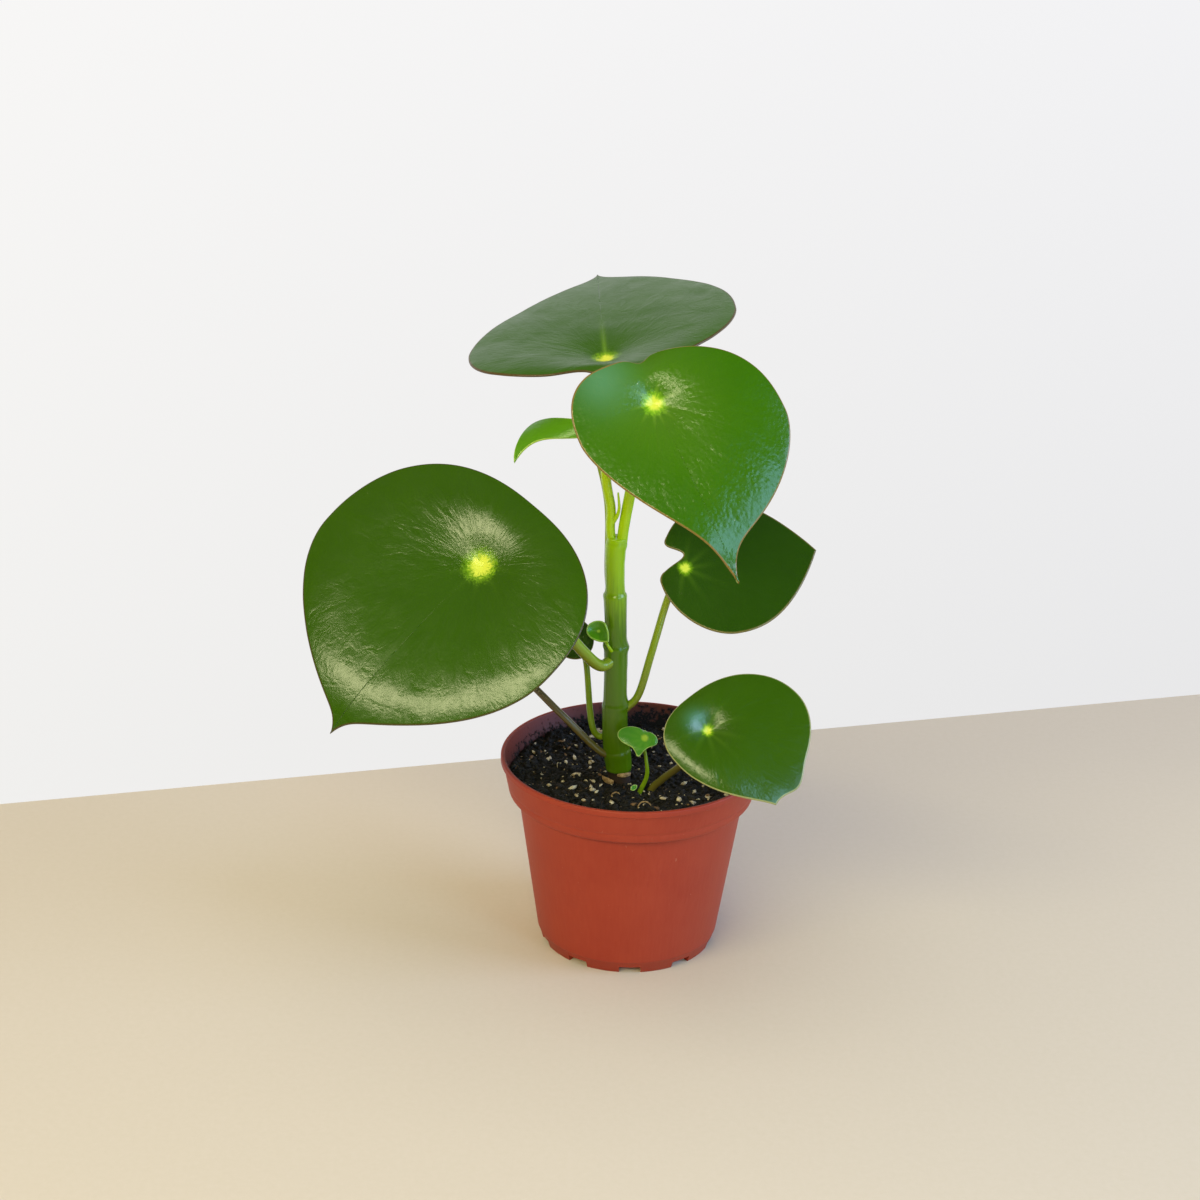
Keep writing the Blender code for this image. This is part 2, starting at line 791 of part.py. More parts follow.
# Stalks that start inside the stem, which trims them, and end under the blade named.
PETIOLES = (
    (
        "blade_left_large",
        Stalk(
            "petiole_left_large",
            ((-9.5, -10.5, 143), (-15, -15, 141.5), (-22, -21, 149.5), (-35, -28, 167), (-54, -32, 184)),
            2.7,
            2.5,
        ),
    ),
    (
        "blade_heart",
        Stalk(
            "petiole_heart",
            ((-7.5, -9, 196), (-6.5, -9, 206), (-4.5, -9.5, 220), (0.5, -19, 254)),
            2.4,
            2.5,
            colour=STEM_GREEN,
        ),
    ),
    (
        "blade_top",
        Stalk(
            "petiole_top",
            ((-11.5, -9, 196), (-12.5, -9, 205), (-12.5, -9, 214), (-15, -8.5, 228), (-16.5, -3.5, 253)),
            2.0,
            2.2,
            colour=STEM_GREEN,
        ),
    ),
    (
        "blade_young",
        Stalk(
            "petiole_young",
            ((-11.5, -8, 169), (-13.5, -4, 182), (-14.5, -3, 214), (-21, -2, 241)),
            1.3,
            1.0,
        ),
    ),
    (
        "blade_right",
        Stalk(
            "petiole_right",
            ((-4.5, -9, 118), (2, -9, 125), (7.5, -8, 146), (14.5, 0, 170.5)),
            1.8,
            1.7,
        ),
    ),
    (
        "blade_behind_small",
        Stalk(
            "petiole_behind_small",
            ((-9, -7.5, 104.5), (-15.5, -6, 103), (-19, -6, 111), (-21.5, -1, 134)),
            1.6,
            1.4,
        ),
    ),
    (
        "blade_behind_old",
        Stalk(
            "petiole_behind_old",
            ((-8, -10, 96), (-15, -12, 98.5), (-33, -12, 116.5), (-58, -4, 138)),
            1.7,
            1.6,
            colour=BROWN_GREEN,
        ),
    ),
    (
        "blade_cup",
        Stalk(
            "petiole_cup",
            ((-9.5, -11, 147.5), (-10.5, -14, 148.5), (-12.5, -15, 152)),
            0.7,
            0.7,
            colour=STEM_GREEN,
        ),
    ),
)

# Stalks that rise from the soil by themselves.
SOIL_STALKS = (
    (
        "blade_lower_right",
        Stalk(
            "petiole_lower_right",
            ((8, -14.5, 68), (9, -15, 80), (14, -18.5, 88), (26, -31, 105)),
            1.8,
            1.7,
            colour=BROWN_GREEN,
        ),
    ),
    (
        "blade_sprout",
        Stalk(
            "sprout_stem",
            ((2.5, -18, 68), (3.5, -18, 79), (7, -18, 89), (6.5, -17, 97)),
            1.4,
            0.8,
        ),
    ),
)

# The closed shoot tip in the fork, on the inner side of the top leaf's stalk.
SHOOT_TIP = Stalk("shoot_tip", ((-12, -9.5, 206.5), (-9, -11, 213.5), (-9.5, -11, 222)), 1.1, 0.5)


def make_stalk(blade, stalk, parts):
    route, radii = to_blade(blade, stalk)
    mesh = tube_mesh(stalk.name, route, radii, stalk.sides, stalk.steps)
    return add_object(stalk.name, mesh, parts, colour=stalk.colour, roughness=0.35)


def hole_for(stalk, cutters):
    """The hole that a stalk standing in the soil needs, a gap wider than the stalk all round."""
    name = stalk.name + "_hole"
    mesh = tube_mesh(name, stalk.route(), stalk.radii(), stalk.sides, stalk.steps, GAP)
    return add_object(name, mesh, cutters)


def main():
    clear_scene()
    parts = new_collection("potted_peperomia")
    cutters = new_collection("cutters")
    cutters.hide_render = True
    blades = {blade.name: blade for blade in BLADES}
    make_pot(parts, cutters)
    stem_cutter = make_stem(parts, cutters)
    for blade_name, stalk in PETIOLES:
        petiole = make_stalk(blades[blade_name], stalk, parts)
        if stalk.name == "petiole_top":
            tip = tube_mesh(
                "shoot_tip", SHOOT_TIP.route(), SHOOT_TIP.radii(), SHOOT_TIP.sides, SHOOT_TIP.steps
            )
            boolean(petiole, add_object("shoot_tip", tip, cutters), "UNION")
        boolean(petiole, stem_cutter)
    holes = [stem_cutter]
    for blade_name, stalk in SOIL_STALKS:
        make_stalk(blades[blade_name], stalk, parts)
        holes.append(hole_for(stalk, cutters))
    make_soil(parts, cutters, holes)
    for blade in BLADES:
        make_blade(blade, parts)


if __name__ == "__main__":
    main()
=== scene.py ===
"""Potted peperomia: the looks of a young house plant in a 12 cm nursery pot.

Metres, +Z up, -Y to the front, the pot's foot on z = 0. Blades, stalks, the pot and the mix
hold their sizes in millimetres and their angles in degrees, and turn them into metres when
they are built. Each finish makes one material, and its colours are sRGB hex values.
"""

from __future__ import annotations

import json
import logging
import math
from dataclasses import dataclass
from enum import Enum
from itertools import combinations

import bpy
import numpy as np
from mathutils import Matrix, Vector

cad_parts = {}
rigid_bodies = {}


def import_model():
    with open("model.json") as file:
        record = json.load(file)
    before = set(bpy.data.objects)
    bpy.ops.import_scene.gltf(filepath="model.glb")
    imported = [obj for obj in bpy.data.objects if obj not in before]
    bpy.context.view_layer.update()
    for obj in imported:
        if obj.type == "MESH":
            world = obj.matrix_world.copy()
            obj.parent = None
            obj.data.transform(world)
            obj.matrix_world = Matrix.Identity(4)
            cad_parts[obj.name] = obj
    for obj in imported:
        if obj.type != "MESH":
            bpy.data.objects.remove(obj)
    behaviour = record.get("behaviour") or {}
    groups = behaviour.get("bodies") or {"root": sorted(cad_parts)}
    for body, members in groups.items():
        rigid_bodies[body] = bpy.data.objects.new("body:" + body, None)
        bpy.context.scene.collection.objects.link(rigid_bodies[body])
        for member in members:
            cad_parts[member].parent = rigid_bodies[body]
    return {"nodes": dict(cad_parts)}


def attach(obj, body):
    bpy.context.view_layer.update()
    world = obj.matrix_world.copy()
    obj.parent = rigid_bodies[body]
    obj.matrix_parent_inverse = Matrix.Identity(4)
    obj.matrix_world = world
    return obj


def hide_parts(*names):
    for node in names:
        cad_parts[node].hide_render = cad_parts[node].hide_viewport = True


MM = 0.001
BODY = "root"
NOISE_CELLS = 64
NO_CREASE = 180.0
QUARTER_POINTS = 400
COARSE_POINTS = 72
MAIN_OUTPUT = {"ShaderNodeMix": 2, "ShaderNodeTexCoord": 3, "ShaderNodeAttribute": 2}
log = logging.getLogger("peperomia")


def linear(colour: str) -> tuple[float, float, float, float]:
    """Turns an sRGB hex colour into linear red, green and blue with an alpha of one.

    Args:
        colour: the colour as "#RRGGBB".

    Returns:
        Four numbers from 0 to 1.
    """
    parts = np.array([int(colour[i : i + 2], 16) for i in (1, 3, 5)]) / 255
    high = ((parts + 0.055) / 1.055) ** 2.4
    return (*np.where(parts <= 0.04045, parts / 12.92, high).tolist(), 1.0)


def bell(gap: np.ndarray, width: float | np.ndarray) -> np.ndarray:
    """A smooth bump, exp(-(gap / width)^2): one where the gap is nothing."""
    return np.exp(-((gap / width) ** 2))


def full_turn(count: int) -> np.ndarray:
    """Angles spaced evenly round a full turn, from 0."""
    return np.linspace(0, math.tau, count, endpoint=False)


def on_circle(radius: float | np.ndarray, angle: np.ndarray) -> np.ndarray:
    """Flat points at a distance and an angle from the middle."""
    return np.stack([radius * np.cos(angle), radius * np.sin(angle)], axis=-1)


def polar(flat: np.ndarray) -> tuple[np.ndarray, np.ndarray]:
    """The distance and the angle of flat points, seen from the middle."""
    return np.hypot(flat[..., 0], flat[..., 1]), np.arctan2(flat[..., 1], flat[..., 0])


def way_along(points: np.ndarray) -> np.ndarray:
    """The length of a line of points from its first point to each of them."""
    return np.append(0, np.cumsum(np.linalg.norm(np.diff(points, axis=0), axis=1)))


def smooth_open(points: np.ndarray, steps: int) -> np.ndarray:
    """Samples the Catmull-Rom curve through some points.

    Each span is start + t/2 (end - before) + t^2 (...) + t^3 (...), the usual cubic whose
    slope at a point is half the way from the point before it to the point after it.

    Args:
        points: the points, one to a row.
        steps: samples to each span.

    Returns:
        The samples, the last point among them.
    """
    points = np.asarray(points, float)
    ghosts = np.vstack([2 * points[0] - points[1], points, 2 * points[-1] - points[-2]])
    before, start, end, after = (ghosts[i : len(ghosts) - 3 + i, None] for i in range(4))
    t = (np.arange(steps) / steps)[None, :, None]
    curve = (
        start
        + 0.5 * t * (end - before)
        + t**2 * (before - 2.5 * start + 2 * end - 0.5 * after)
        + t**3 * (1.5 * (start - end) + 0.5 * (after - before))
    )
    return np.vstack([curve.reshape(-1, points.shape[1]), points[-1]])


def value_noise(points: np.ndarray, cell: float, seed: int) -> np.ndarray:
    """Makes smooth noise: random values on a square lattice, blended by t^2 (3 - 2t).

    Args:
        points: flat points, two to a row.
        cell: the lattice's spacing, in the points' unit.
        seed: picks the lattice's values.

    Returns:
        Values from -1 to 1, which repeat after NOISE_CELLS cells.
    """
    table = np.random.default_rng(seed).uniform(-1, 1, (NOISE_CELLS, NOISE_CELLS))
    corner = np.floor(points / cell).astype(int)
    t = points / cell - corner
    t = t * t * (3 - 2 * t)
    x, y = corner[..., 0], corner[..., 1]
    low, high = (
        table[(x + i) % NOISE_CELLS, y % NOISE_CELLS] * (1 - t[..., 1])
        + table[(x + i) % NOISE_CELLS, (y + 1) % NOISE_CELLS] * t[..., 1]
        for i in (0, 1)
    )
    return low * (1 - t[..., 0]) + high * t[..., 0]


def capped_tube(rings: np.ndarray, poles: np.ndarray | None = None) -> tuple[np.ndarray, list]:
    """Makes a closed skin through rings of points, each end drawn together at a pole.

    Args:
        rings: points as (ring, place round it, xyz).
        poles: the first and the last pole, or None for the middles of the end rings.

    Returns:
        The points, the two poles last, and the faces as lists of point numbers.
    """
    count, around = rings.shape[:2]
    ends = np.stack([rings[0].mean(axis=0), rings[-1].mean(axis=0)]) if poles is None else poles
    index = np.arange(count * around).reshape(count, around)
    ahead = np.roll(index, -1, axis=1)
    faces = np.stack([index[:-1], ahead[:-1], ahead[1:], index[1:]], axis=-1).reshape(-1, 4).tolist()
    first, last = np.full(around, count * around), np.full(around, count * around + 1)
    faces += np.stack([ahead[0], index[0], first], axis=1).tolist()
    faces += np.stack([index[-1], ahead[-1], last], axis=1).tolist()
    return np.vstack([rings.reshape(-1, 3), ends]), faces


def rings_along(centre: np.ndarray, reach: np.ndarray) -> np.ndarray:
    """Sets rings square to a route: centre + reach (cos(a) side + sin(a) rear).

    The side is square to the route and level, so that a = 0 is the left of an upright stem.

    Args:
        centre: the route, one point to a row.
        reach: the radius at each route point and place round it.

    Returns:
        Points as (ring, place round it, xyz).
    """
    way = np.gradient(centre, axis=0)
    side = np.cross(way, (0.0, 1.0, 0.0))
    side /= np.linalg.norm(side, axis=1, keepdims=True)
    rear = np.cross(side, way)
    rear /= np.linalg.norm(rear, axis=1, keepdims=True)
    turn = full_turn(reach.shape[1])[None, :, None]
    round_it = np.cos(turn) * side[:, None] + np.sin(turn) * rear[:, None]
    return centre[:, None] + reach[..., None] * round_it


def turned_rings(section: np.ndarray, around: int) -> np.ndarray:
    """Carries a section of (radius, height) round the upright axis.

    Args:
        section: the section's points.
        around: how many places round the axis.

    Returns:
        Points as (ring, place round it, xyz).
    """
    radius, height = section[:, :1], section[:, 1:]
    level = np.broadcast_to(height, (len(section), around))
    return np.concatenate([on_circle(radius, full_turn(around)), level[..., None]], axis=-1)


def add_node(
    tree: bpy.types.NodeTree, kind: str, settings: dict | None = None, links: dict | None = None
) -> bpy.types.Node:
    """Adds a node, sets its attributes and sockets in order, and links its inputs.

    Args:
        tree: the node tree.
        kind: the node's type, without ShaderNode.
        settings: attribute name, socket name or socket number to its value.
        links: socket name or number to the socket or the node that feeds it.

    Returns:
        The new node.
    """
    node = tree.nodes.new("ShaderNode" + kind)
    for key, value in (settings or {}).items():
        if isinstance(key, str) and hasattr(node, key):
            setattr(node, key, value)
        else:
            node.inputs[key].default_value = value
    for key, source in (links or {}).items():
        if isinstance(source, bpy.types.Node):
            source = source.outputs[MAIN_OUTPUT.get(source.bl_idname, 0)]
        tree.links.new(source, node.inputs[key])
    return node


def new_material(name: str) -> tuple[bpy.types.Material, bpy.types.NodeTree]:
    """An empty node material and its tree."""
    material = bpy.data.materials.new(name)
    material.use_nodes = True
    material.node_tree.nodes.clear()
    return material, material.node_tree


def new_mesh(name: str, points: np.ndarray, faces: list) -> bpy.types.Mesh:
    """A mesh of points in metres and of faces as lists of point numbers."""
    mesh = bpy.data.meshes.new(name)
    mesh.from_pydata(points.tolist(), [], faces)
    return mesh


def new_object(name: str, data: bpy.types.ID) -> bpy.types.Object:
    """An object in the scene that holds a mesh, a camera or a lamp."""
    holder = bpy.data.objects.new(name, data)
    bpy.context.scene.collection.objects.link(holder)
    return holder


def make_piece(
    name: str,
    points: np.ndarray,
    faces: list,
    material: bpy.types.Material,
    nodes: tuple[str, ...] = (),
    marks: dict[str, np.ndarray] | None = None,
    crease: float = NO_CREASE,
) -> bpy.types.Object:
    """Makes a smooth piece, its faces turned outwards, that rides on the one body.

    Args:
        name: the piece's name.
        points: its points, in metres.
        faces: its faces, as lists of point numbers.
        material: its finish.
        nodes: the CAD nodes that it replaces.
        marks: point attributes that its finish reads, one number or three to a point.
        crease: edges sharper than this many degrees stay sharp.

    Returns:
        The piece.
    """
    mesh = new_mesh(name, points, faces)
    mesh.calc_loop_triangles()
    corners = np.empty(len(mesh.loop_triangles) * 3, np.int32)
    mesh.loop_triangles.foreach_get("vertices", corners)
    volume = np.linalg.det(points[corners.reshape(-1, 3)] - points.mean(axis=0)).sum()
    if volume < 0:
        mesh.flip_normals()
    for key, values in (marks or {}).items():
        flat = values.ndim == 1
        layer = mesh.attributes.new(key, "FLOAT" if flat else "FLOAT_VECTOR", "POINT")
        layer.data.foreach_set("value" if flat else "vector", values.astype(np.float32).ravel())
    mesh.shade_smooth()
    if crease < NO_CREASE:
        mesh.set_sharp_from_angle(angle=math.radians(crease))
    mesh.materials.append(material)
    piece = new_object(name, mesh)
    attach(piece, BODY)
    if nodes:
        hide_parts(*nodes)
    log.info("%s: %d faces, for %s", name, len(faces), ", ".join(nodes) or "no node")
    return piece


@dataclass(frozen=True)
class LeafSkin:
    """Waxy cuticle on thick leaf flesh.

    Living leaf, grown: a clear wax coat over green cells, so it is glossy. Fine wrinkles fan
    out from the stalk's spot and break its glare up, the spot itself is lime yellow with a
    ragged edge, and the margin is a thin bleached or reddish line. The underside is duller
    and paler. Pale dots are partly the leaf's own and partly painted glints, and patches of
    painted bluish sheen are painted reflections laid into the colour.
    """

    name: str
    deep: str = "#2F5102"
    light: str = "#385B03"
    vein: str = "#7CA826"
    halo: str = "#7FAE0C"
    core: str = "#DCE44A"
    margin: str = "#4E3A1C"
    painted_sheen: str = "#6AA68C"
    underside: str = "#86A05C"
    speck_and_glint: str = "#C2CCA6"
    roughness: float = 0.2
    wrinkle: float = 0.15
    crinkle: float = 0.06
    blister: float = 0.0

    def material(self) -> bpy.types.Material:
        """Builds the finish from the blade's marks and the coordinates that fan out.

        Returns:
            The material.
        """
        material, tree = new_material(self.name)
        place = add_node(tree, "TexCoord")
        spot, vein, rim, under, fan, painted_sheen = (
            add_node(tree, "Attribute", {"attribute_name": key})
            for key in ("spot", "vein", "rim", "under", "fan", "painted_sheen")
        )
        fine = {"Detail": 3.0, "Roughness": 0.55}
        mottle, streaks, crinkles = (
            add_node(tree, "TexNoise", settings, {"Vector": source})
            for settings, source in (
                ({"Scale": 1 / (22 * MM), "Detail": 4.0, "Roughness": 0.6}, place),
                (fine | {"Scale": 1.0, "Distortion": 1.6}, fan.outputs["Vector"]),
                (fine | {"Scale": 1 / (2.1 * MM), "Distortion": 0.8}, place),
            )
        )
        # The spot's ragged edge: its lime core inside a greener halo.
        ragged = add_node(tree, "Math", {"operation": "MULTIPLY_ADD", 1: 0.9}, {0: streaks, 2: spot})
        soft = {"interpolation_type": "SMOOTHSTEP"}
        halo, core = (
            add_node(
                tree,
                "MapRange",
                soft | {"From Min": low, "From Max": high, "To Max": most},
                {"Value": ragged},
            )
            for low, high, most in ((0.05, 0.6, 0.8), (0.42, 0.8, 1.0))
        )
        # Sparse pale specks 0.3 to 0.5 mm across, about one to each 15 mm: partly the leaf's own specks and
        # partly painted glints.
        specks_and_glints = add_node(tree, "TexVoronoi", {"Scale": 1 / (8 * MM)}, {"Vector": place})
        size, pick = (
            add_node(tree, "MapRange", {"From Min": low, "From Max": high}, {"Value": specks_and_glints.outputs[key]})
            for key, low, high in (("Distance", 0.035, 0.02), ("Color", 0.66, 0.7))
        )
        speck_and_glint = add_node(tree, "Math", {"operation": "MULTIPLY"}, {0: size, 1: pick})
        colour = add_node(
            tree, "Mix", {"data_type": "RGBA", 6: linear(self.deep), 7: linear(self.light)}, {0: mottle}
        )
        # The first layer is a painted sheen: bluish painted reflections of cool light laid into the colour.
        for share, shade in (
            (painted_sheen, self.painted_sheen),
            (vein, self.vein),
            (halo, self.halo),
            (core, self.core),
            (speck_and_glint, self.speck_and_glint),
            (rim, self.margin),
            (under, self.underside),
        ):
            colour = add_node(tree, "Mix", {"data_type": "RGBA", 7: linear(shade)}, {0: share, 6: colour})
        sleek, coarse = self.roughness - 0.03, self.roughness + 0.05
        gloss = add_node(
            tree,
            "MapRange",
            {"From Min": 0.3, "From Max": 0.7, "To Min": sleek, "To Max": coarse},
            {"Value": streaks},
        )
        dull = add_node(tree, "Math", {"operation": "MULTIPLY_ADD", 1: 0.22}, {0: under, 2: gloss})
        reliefs = [(streaks, self.wrinkle, False), (crinkles, self.crinkle, False)]
        if self.blister:
            swollen = {"feature": "SMOOTH_F1", "Scale": 1 / (1.9 * MM), "Smoothness": 0.6}
            blisters = add_node(tree, "TexVoronoi", swollen, {"Vector": place})
            reliefs.append((blisters, self.blister, True))
        surface = {}
        for height, deep, invert in reliefs:
            settings = {"Strength": 1.0, "Distance": deep * MM, "invert": invert}
            surface = {"Normal": add_node(tree, "Bump", settings, {"Height": height} | surface)}
        links = {"Base Color": colour, "Roughness": dull} | surface
        shader = add_node(tree, "BsdfPrincipled", {"IOR": 1.48, "Metallic": 0.0}, links)
        add_node(tree, "OutputMaterial", links={0: shader})
        return material


@dataclass(frozen=True)
class StalkSkin:
    """Smooth stem skin: juicy green flesh under a thin wax, with faint lengthwise fibres.

    Living stem, grown: yellower where it is young and high up, browner where it is old, with
    a thin brown ring where a leaf scar is, a brown-pink blush on the side away from the light
    and dry brown bark at the foot. Its colour turns from low to high between two heights in
    millimetres, which the fibres move up or down by as much as the drift.
    """

    name: str
    low: str
    high: str
    from_height: float
    to_height: float
    blush: str = "#6E4A2C"
    bark: str = "#33241A"
    fibre: str = "#93AE3C"
    scar: str = "#4E5A14"
    roughness: float = 0.22
    drift: float = 15.0

    def material(self) -> bpy.types.Material:
        """Builds the finish from heights, the stalk's marks and its fibre coordinates.

        Returns:
            The material.
        """
        material, tree = new_material(self.name)
        place = add_node(tree, "TexCoord")
        height = add_node(tree, "SeparateXYZ", links={0: place})
        scar, blush, bark, grain = (
            add_node(tree, "Attribute", {"attribute_name": key})
            for key in ("scar", "blush", "bark", "grain")
        )
        fibres, pits = (
            add_node(
                tree, "TexNoise", {"Scale": scale, "Detail": 3.0, "Roughness": rough}, {"Vector": source}
            )
            for scale, rough, source in ((1.0, 0.55, grain.outputs["Vector"]), (1 / (1.6 * MM), 0.6, place))
        )
        drifted = {"operation": "MULTIPLY_ADD", 1: 2 * self.drift * MM}
        wander = add_node(tree, "Math", drifted, {0: fibres, 2: height.outputs["Z"]})
        start, end = (self.from_height + self.drift) * MM, (self.to_height + self.drift) * MM
        ripening = {"interpolation_type": "SMOOTHSTEP", "From Min": start, "From Max": end}
        ripe = add_node(tree, "MapRange", ripening, {"Value": wander})
        fibre_share = add_node(
            tree, "MapRange", {"From Min": 0.4, "From Max": 0.75, "To Max": 0.05}, {"Value": fibres}
        )
        bark_edge = add_node(tree, "Math", {"operation": "MULTIPLY_ADD", 1: 0.9}, {0: pits, 2: bark})
        bark_share = add_node(tree, "MapRange", {"From Min": 0.9, "From Max": 1.05}, {"Value": bark_edge})
        colour = add_node(
            tree, "Mix", {"data_type": "RGBA", 6: linear(self.low), 7: linear(self.high)}, {0: ripe}
        )
        for share, shade in (
            (fibre_share, self.fibre),
            (blush, self.blush),
            (scar, self.scar),
            (bark_share, self.bark),
        ):
            colour = add_node(tree, "Mix", {"data_type": "RGBA", 7: linear(shade)}, {0: share, 6: colour})
        coarse = {"operation": "MULTIPLY_ADD", 1: 0.45, 2: self.roughness}
        dull = add_node(tree, "Math", coarse, {0: bark_share})
        surface = {}
        for relief, deep in ((fibres, 0.02), (pits, 0.03)):
            settings = {"Strength": 1.0, "Distance": deep * MM}
            surface = {"Normal": add_node(tree, "Bump", settings, {"Height": relief} | surface)}
        links = {"Base Color": colour, "Roughness": dull} | surface
        shader = add_node(tree, "BsdfPrincipled", {"IOR": 1.45}, links)
        add_node(tree, "OutputMaterial", links={0: shader})
        return material


@dataclass(frozen=True)
class PotPlastic:
    """Polypropylene, injection moulded and dyed brick brown.

    A fine satin from the mould's blasted steel, with faint upright flow lines and a few pale
    scuffs. Inside above the soil lie dark peat crumbs and a dark maroon layer that is partly
    peat dust and partly painted shade.
    """

    name: str = "brick_polypropylene"
    body: str = "#9E2E12"
    faded: str = "#A5371B"
    dust_and_shade: str = "#0E0907"
    dust_film_and_shade: str = "#3E1E19"
    scuff: str = "#C98A70"
    roughness: float = 0.54

    def material(self) -> bpy.types.Material:
        """Builds the finish from the pot's place and its marks of peat dust and painted shade.

        Returns:
            The material.
        """
        material, tree = new_material(self.name)
        place = add_node(tree, "TexCoord")
        dust_and_shade = add_node(tree, "Attribute", {"attribute_name": "dust_and_shade"})
        # Flow lines: 1.5 mm apart round the pot and twelve times as long upwards.
        upright = add_node(tree, "Mapping", {"Scale": (1.0, 1.0, 0.08)}, {"Vector": place})
        # Scuffs: short thin scratches, drawn 0.3 mm wide so that they show.
        slanted = add_node(
            tree, "Mapping", {"Rotation": (0.5, 0.9, 0.3), "Scale": (1.0, 0.05, 0.4)}, {"Vector": place}
        )
        clouds, lines, scratches, crumbs, grain = (
            add_node(tree, "TexNoise", {"Scale": 1 / (cell * MM)} | settings, {"Vector": source})
            for cell, settings, source in (
                (26, {"Detail": 5.0, "Roughness": 0.6}, place),
                (1.5, {"Detail": 2.0, "Roughness": 0.5}, upright),
                (1.1, {"Detail": 1.0, "Distortion": 0.6}, slanted),
                (2.4, {"Detail": 5.0, "Roughness": 0.75}, place),
                (0.9, {"Detail": 3.0}, place),
            )
        )
        mixed = add_node(tree, "Math", {"operation": "MULTIPLY_ADD", 1: 0.45}, {0: lines, 2: clouds})
        reach = add_node(tree, "Math", {"operation": "ADD"}, {0: crumbs, 1: dust_and_shade})
        # Inside: a dark maroon layer, partly peat dust and partly painted shade, then black peat.
        fade, scuffs, dust_film_and_shade, peat = (
            add_node(
                tree, "MapRange", {"From Min": low, "From Max": high, "To Max": top}, {"Value": source}
            )
            for low, high, top, source in (
                (0.5, 0.95, 1.0, mixed),
                (0.76, 0.84, 0.3, scratches),
                (0.05, 0.5, 0.92, dust_and_shade),
                (0.98, 1.05, 1.0, reach),
            )
        )
        colour = add_node(
            tree, "Mix", {"data_type": "RGBA", 6: linear(self.body), 7: linear(self.faded)}, {0: fade}
        )
        for share, shade in ((scuffs, self.scuff), (dust_film_and_shade, self.dust_film_and_shade), (peat, self.dust_and_shade)):
            colour = add_node(tree, "Mix", {"data_type": "RGBA", 7: linear(shade)}, {0: share, 6: colour})
        blasted = {"To Min": self.roughness - 0.05, "To Max": self.roughness + 0.07}
        satin = add_node(tree, "MapRange", blasted, {"Value": clouds})
        dull = add_node(tree, "Math", {"operation": "MULTIPLY_ADD", 1: 0.4}, {0: peat, 2: satin})
        surface = {}
        for relief, deep in ((grain, 0.03), (lines, 0.05), (peat, 0.5)):
            settings = {"Strength": 1.0, "Distance": deep * MM}
            surface = {"Normal": add_node(tree, "Bump", settings, {"Height": relief} | surface)}
        links = {"Base Color": colour, "Roughness": dull} | surface
        shader = add_node(tree, "BsdfPrincipled", {"IOR": 1.49}, links)
        add_node(tree, "OutputMaterial", links={0: shader})
        return material


@dataclass(frozen=True)
class Grains:
    """Crumbs of the potting mix: peat, fibre, bark or grit, each a rough dull solid."""

    name: str
    dark: str
    light: str
    patch: float = 2.5
    roughness: float = 0.75
    relief: float = 0.3

    def material(self) -> bpy.types.Material:
        """Builds two colours in patches of a given size, with a bump a third as wide.

        Returns:
            The material.
        """
        material, tree = new_material(self.name)
        place = add_node(tree, "TexCoord")
        patches, rough = (
            add_node(
                tree, "TexNoise", {"Scale": scale, "Detail": detail, "Roughness": blend}, {"Vector": place}
            )
            for scale, detail, blend in (
                (1 / (self.patch * MM), 4.0, 0.65),
                (3 / (self.patch * MM), 5.0, 0.7),
            )
        )
        share = add_node(tree, "MapRange", {"From Min": 0.38, "From Max": 0.66}, {"Value": patches})
        colour = add_node(
            tree, "Mix", {"data_type": "RGBA", 6: linear(self.dark), 7: linear(self.light)}, {0: share}
        )
        bump = add_node(tree, "Bump", {"Strength": 1.0, "Distance": self.relief * MM}, {"Height": rough})
        dull = {"IOR": 1.45, "Roughness": self.roughness}
        shader = add_node(tree, "BsdfPrincipled", dull, {"Base Color": colour, "Normal": bump})
        add_node(tree, "OutputMaterial", links={0: shader})
        return material


@dataclass(frozen=True)
class Half:
    """One half of a blade's margin: where it is widest, and how full it is.

    From the widest point to the tip, front is the fullness lengthwise and point the fullness
    crosswise: 1 gives a corner at the tip and 2 a round end. From there to the base, rear is
    both. A quarter with 2 and 2 is an ellipse's.
    """

    along: float
    across: float
    front: float = 2.0
    point: float = 1.0
    rear: float = 2.0


@dataclass(frozen=True)
class Pull:
    """A shift of the margin near one place, such as the sinus or a lobe, fading over width."""

    place: tuple[float, float]
    shift: tuple[float, float]
    width: float


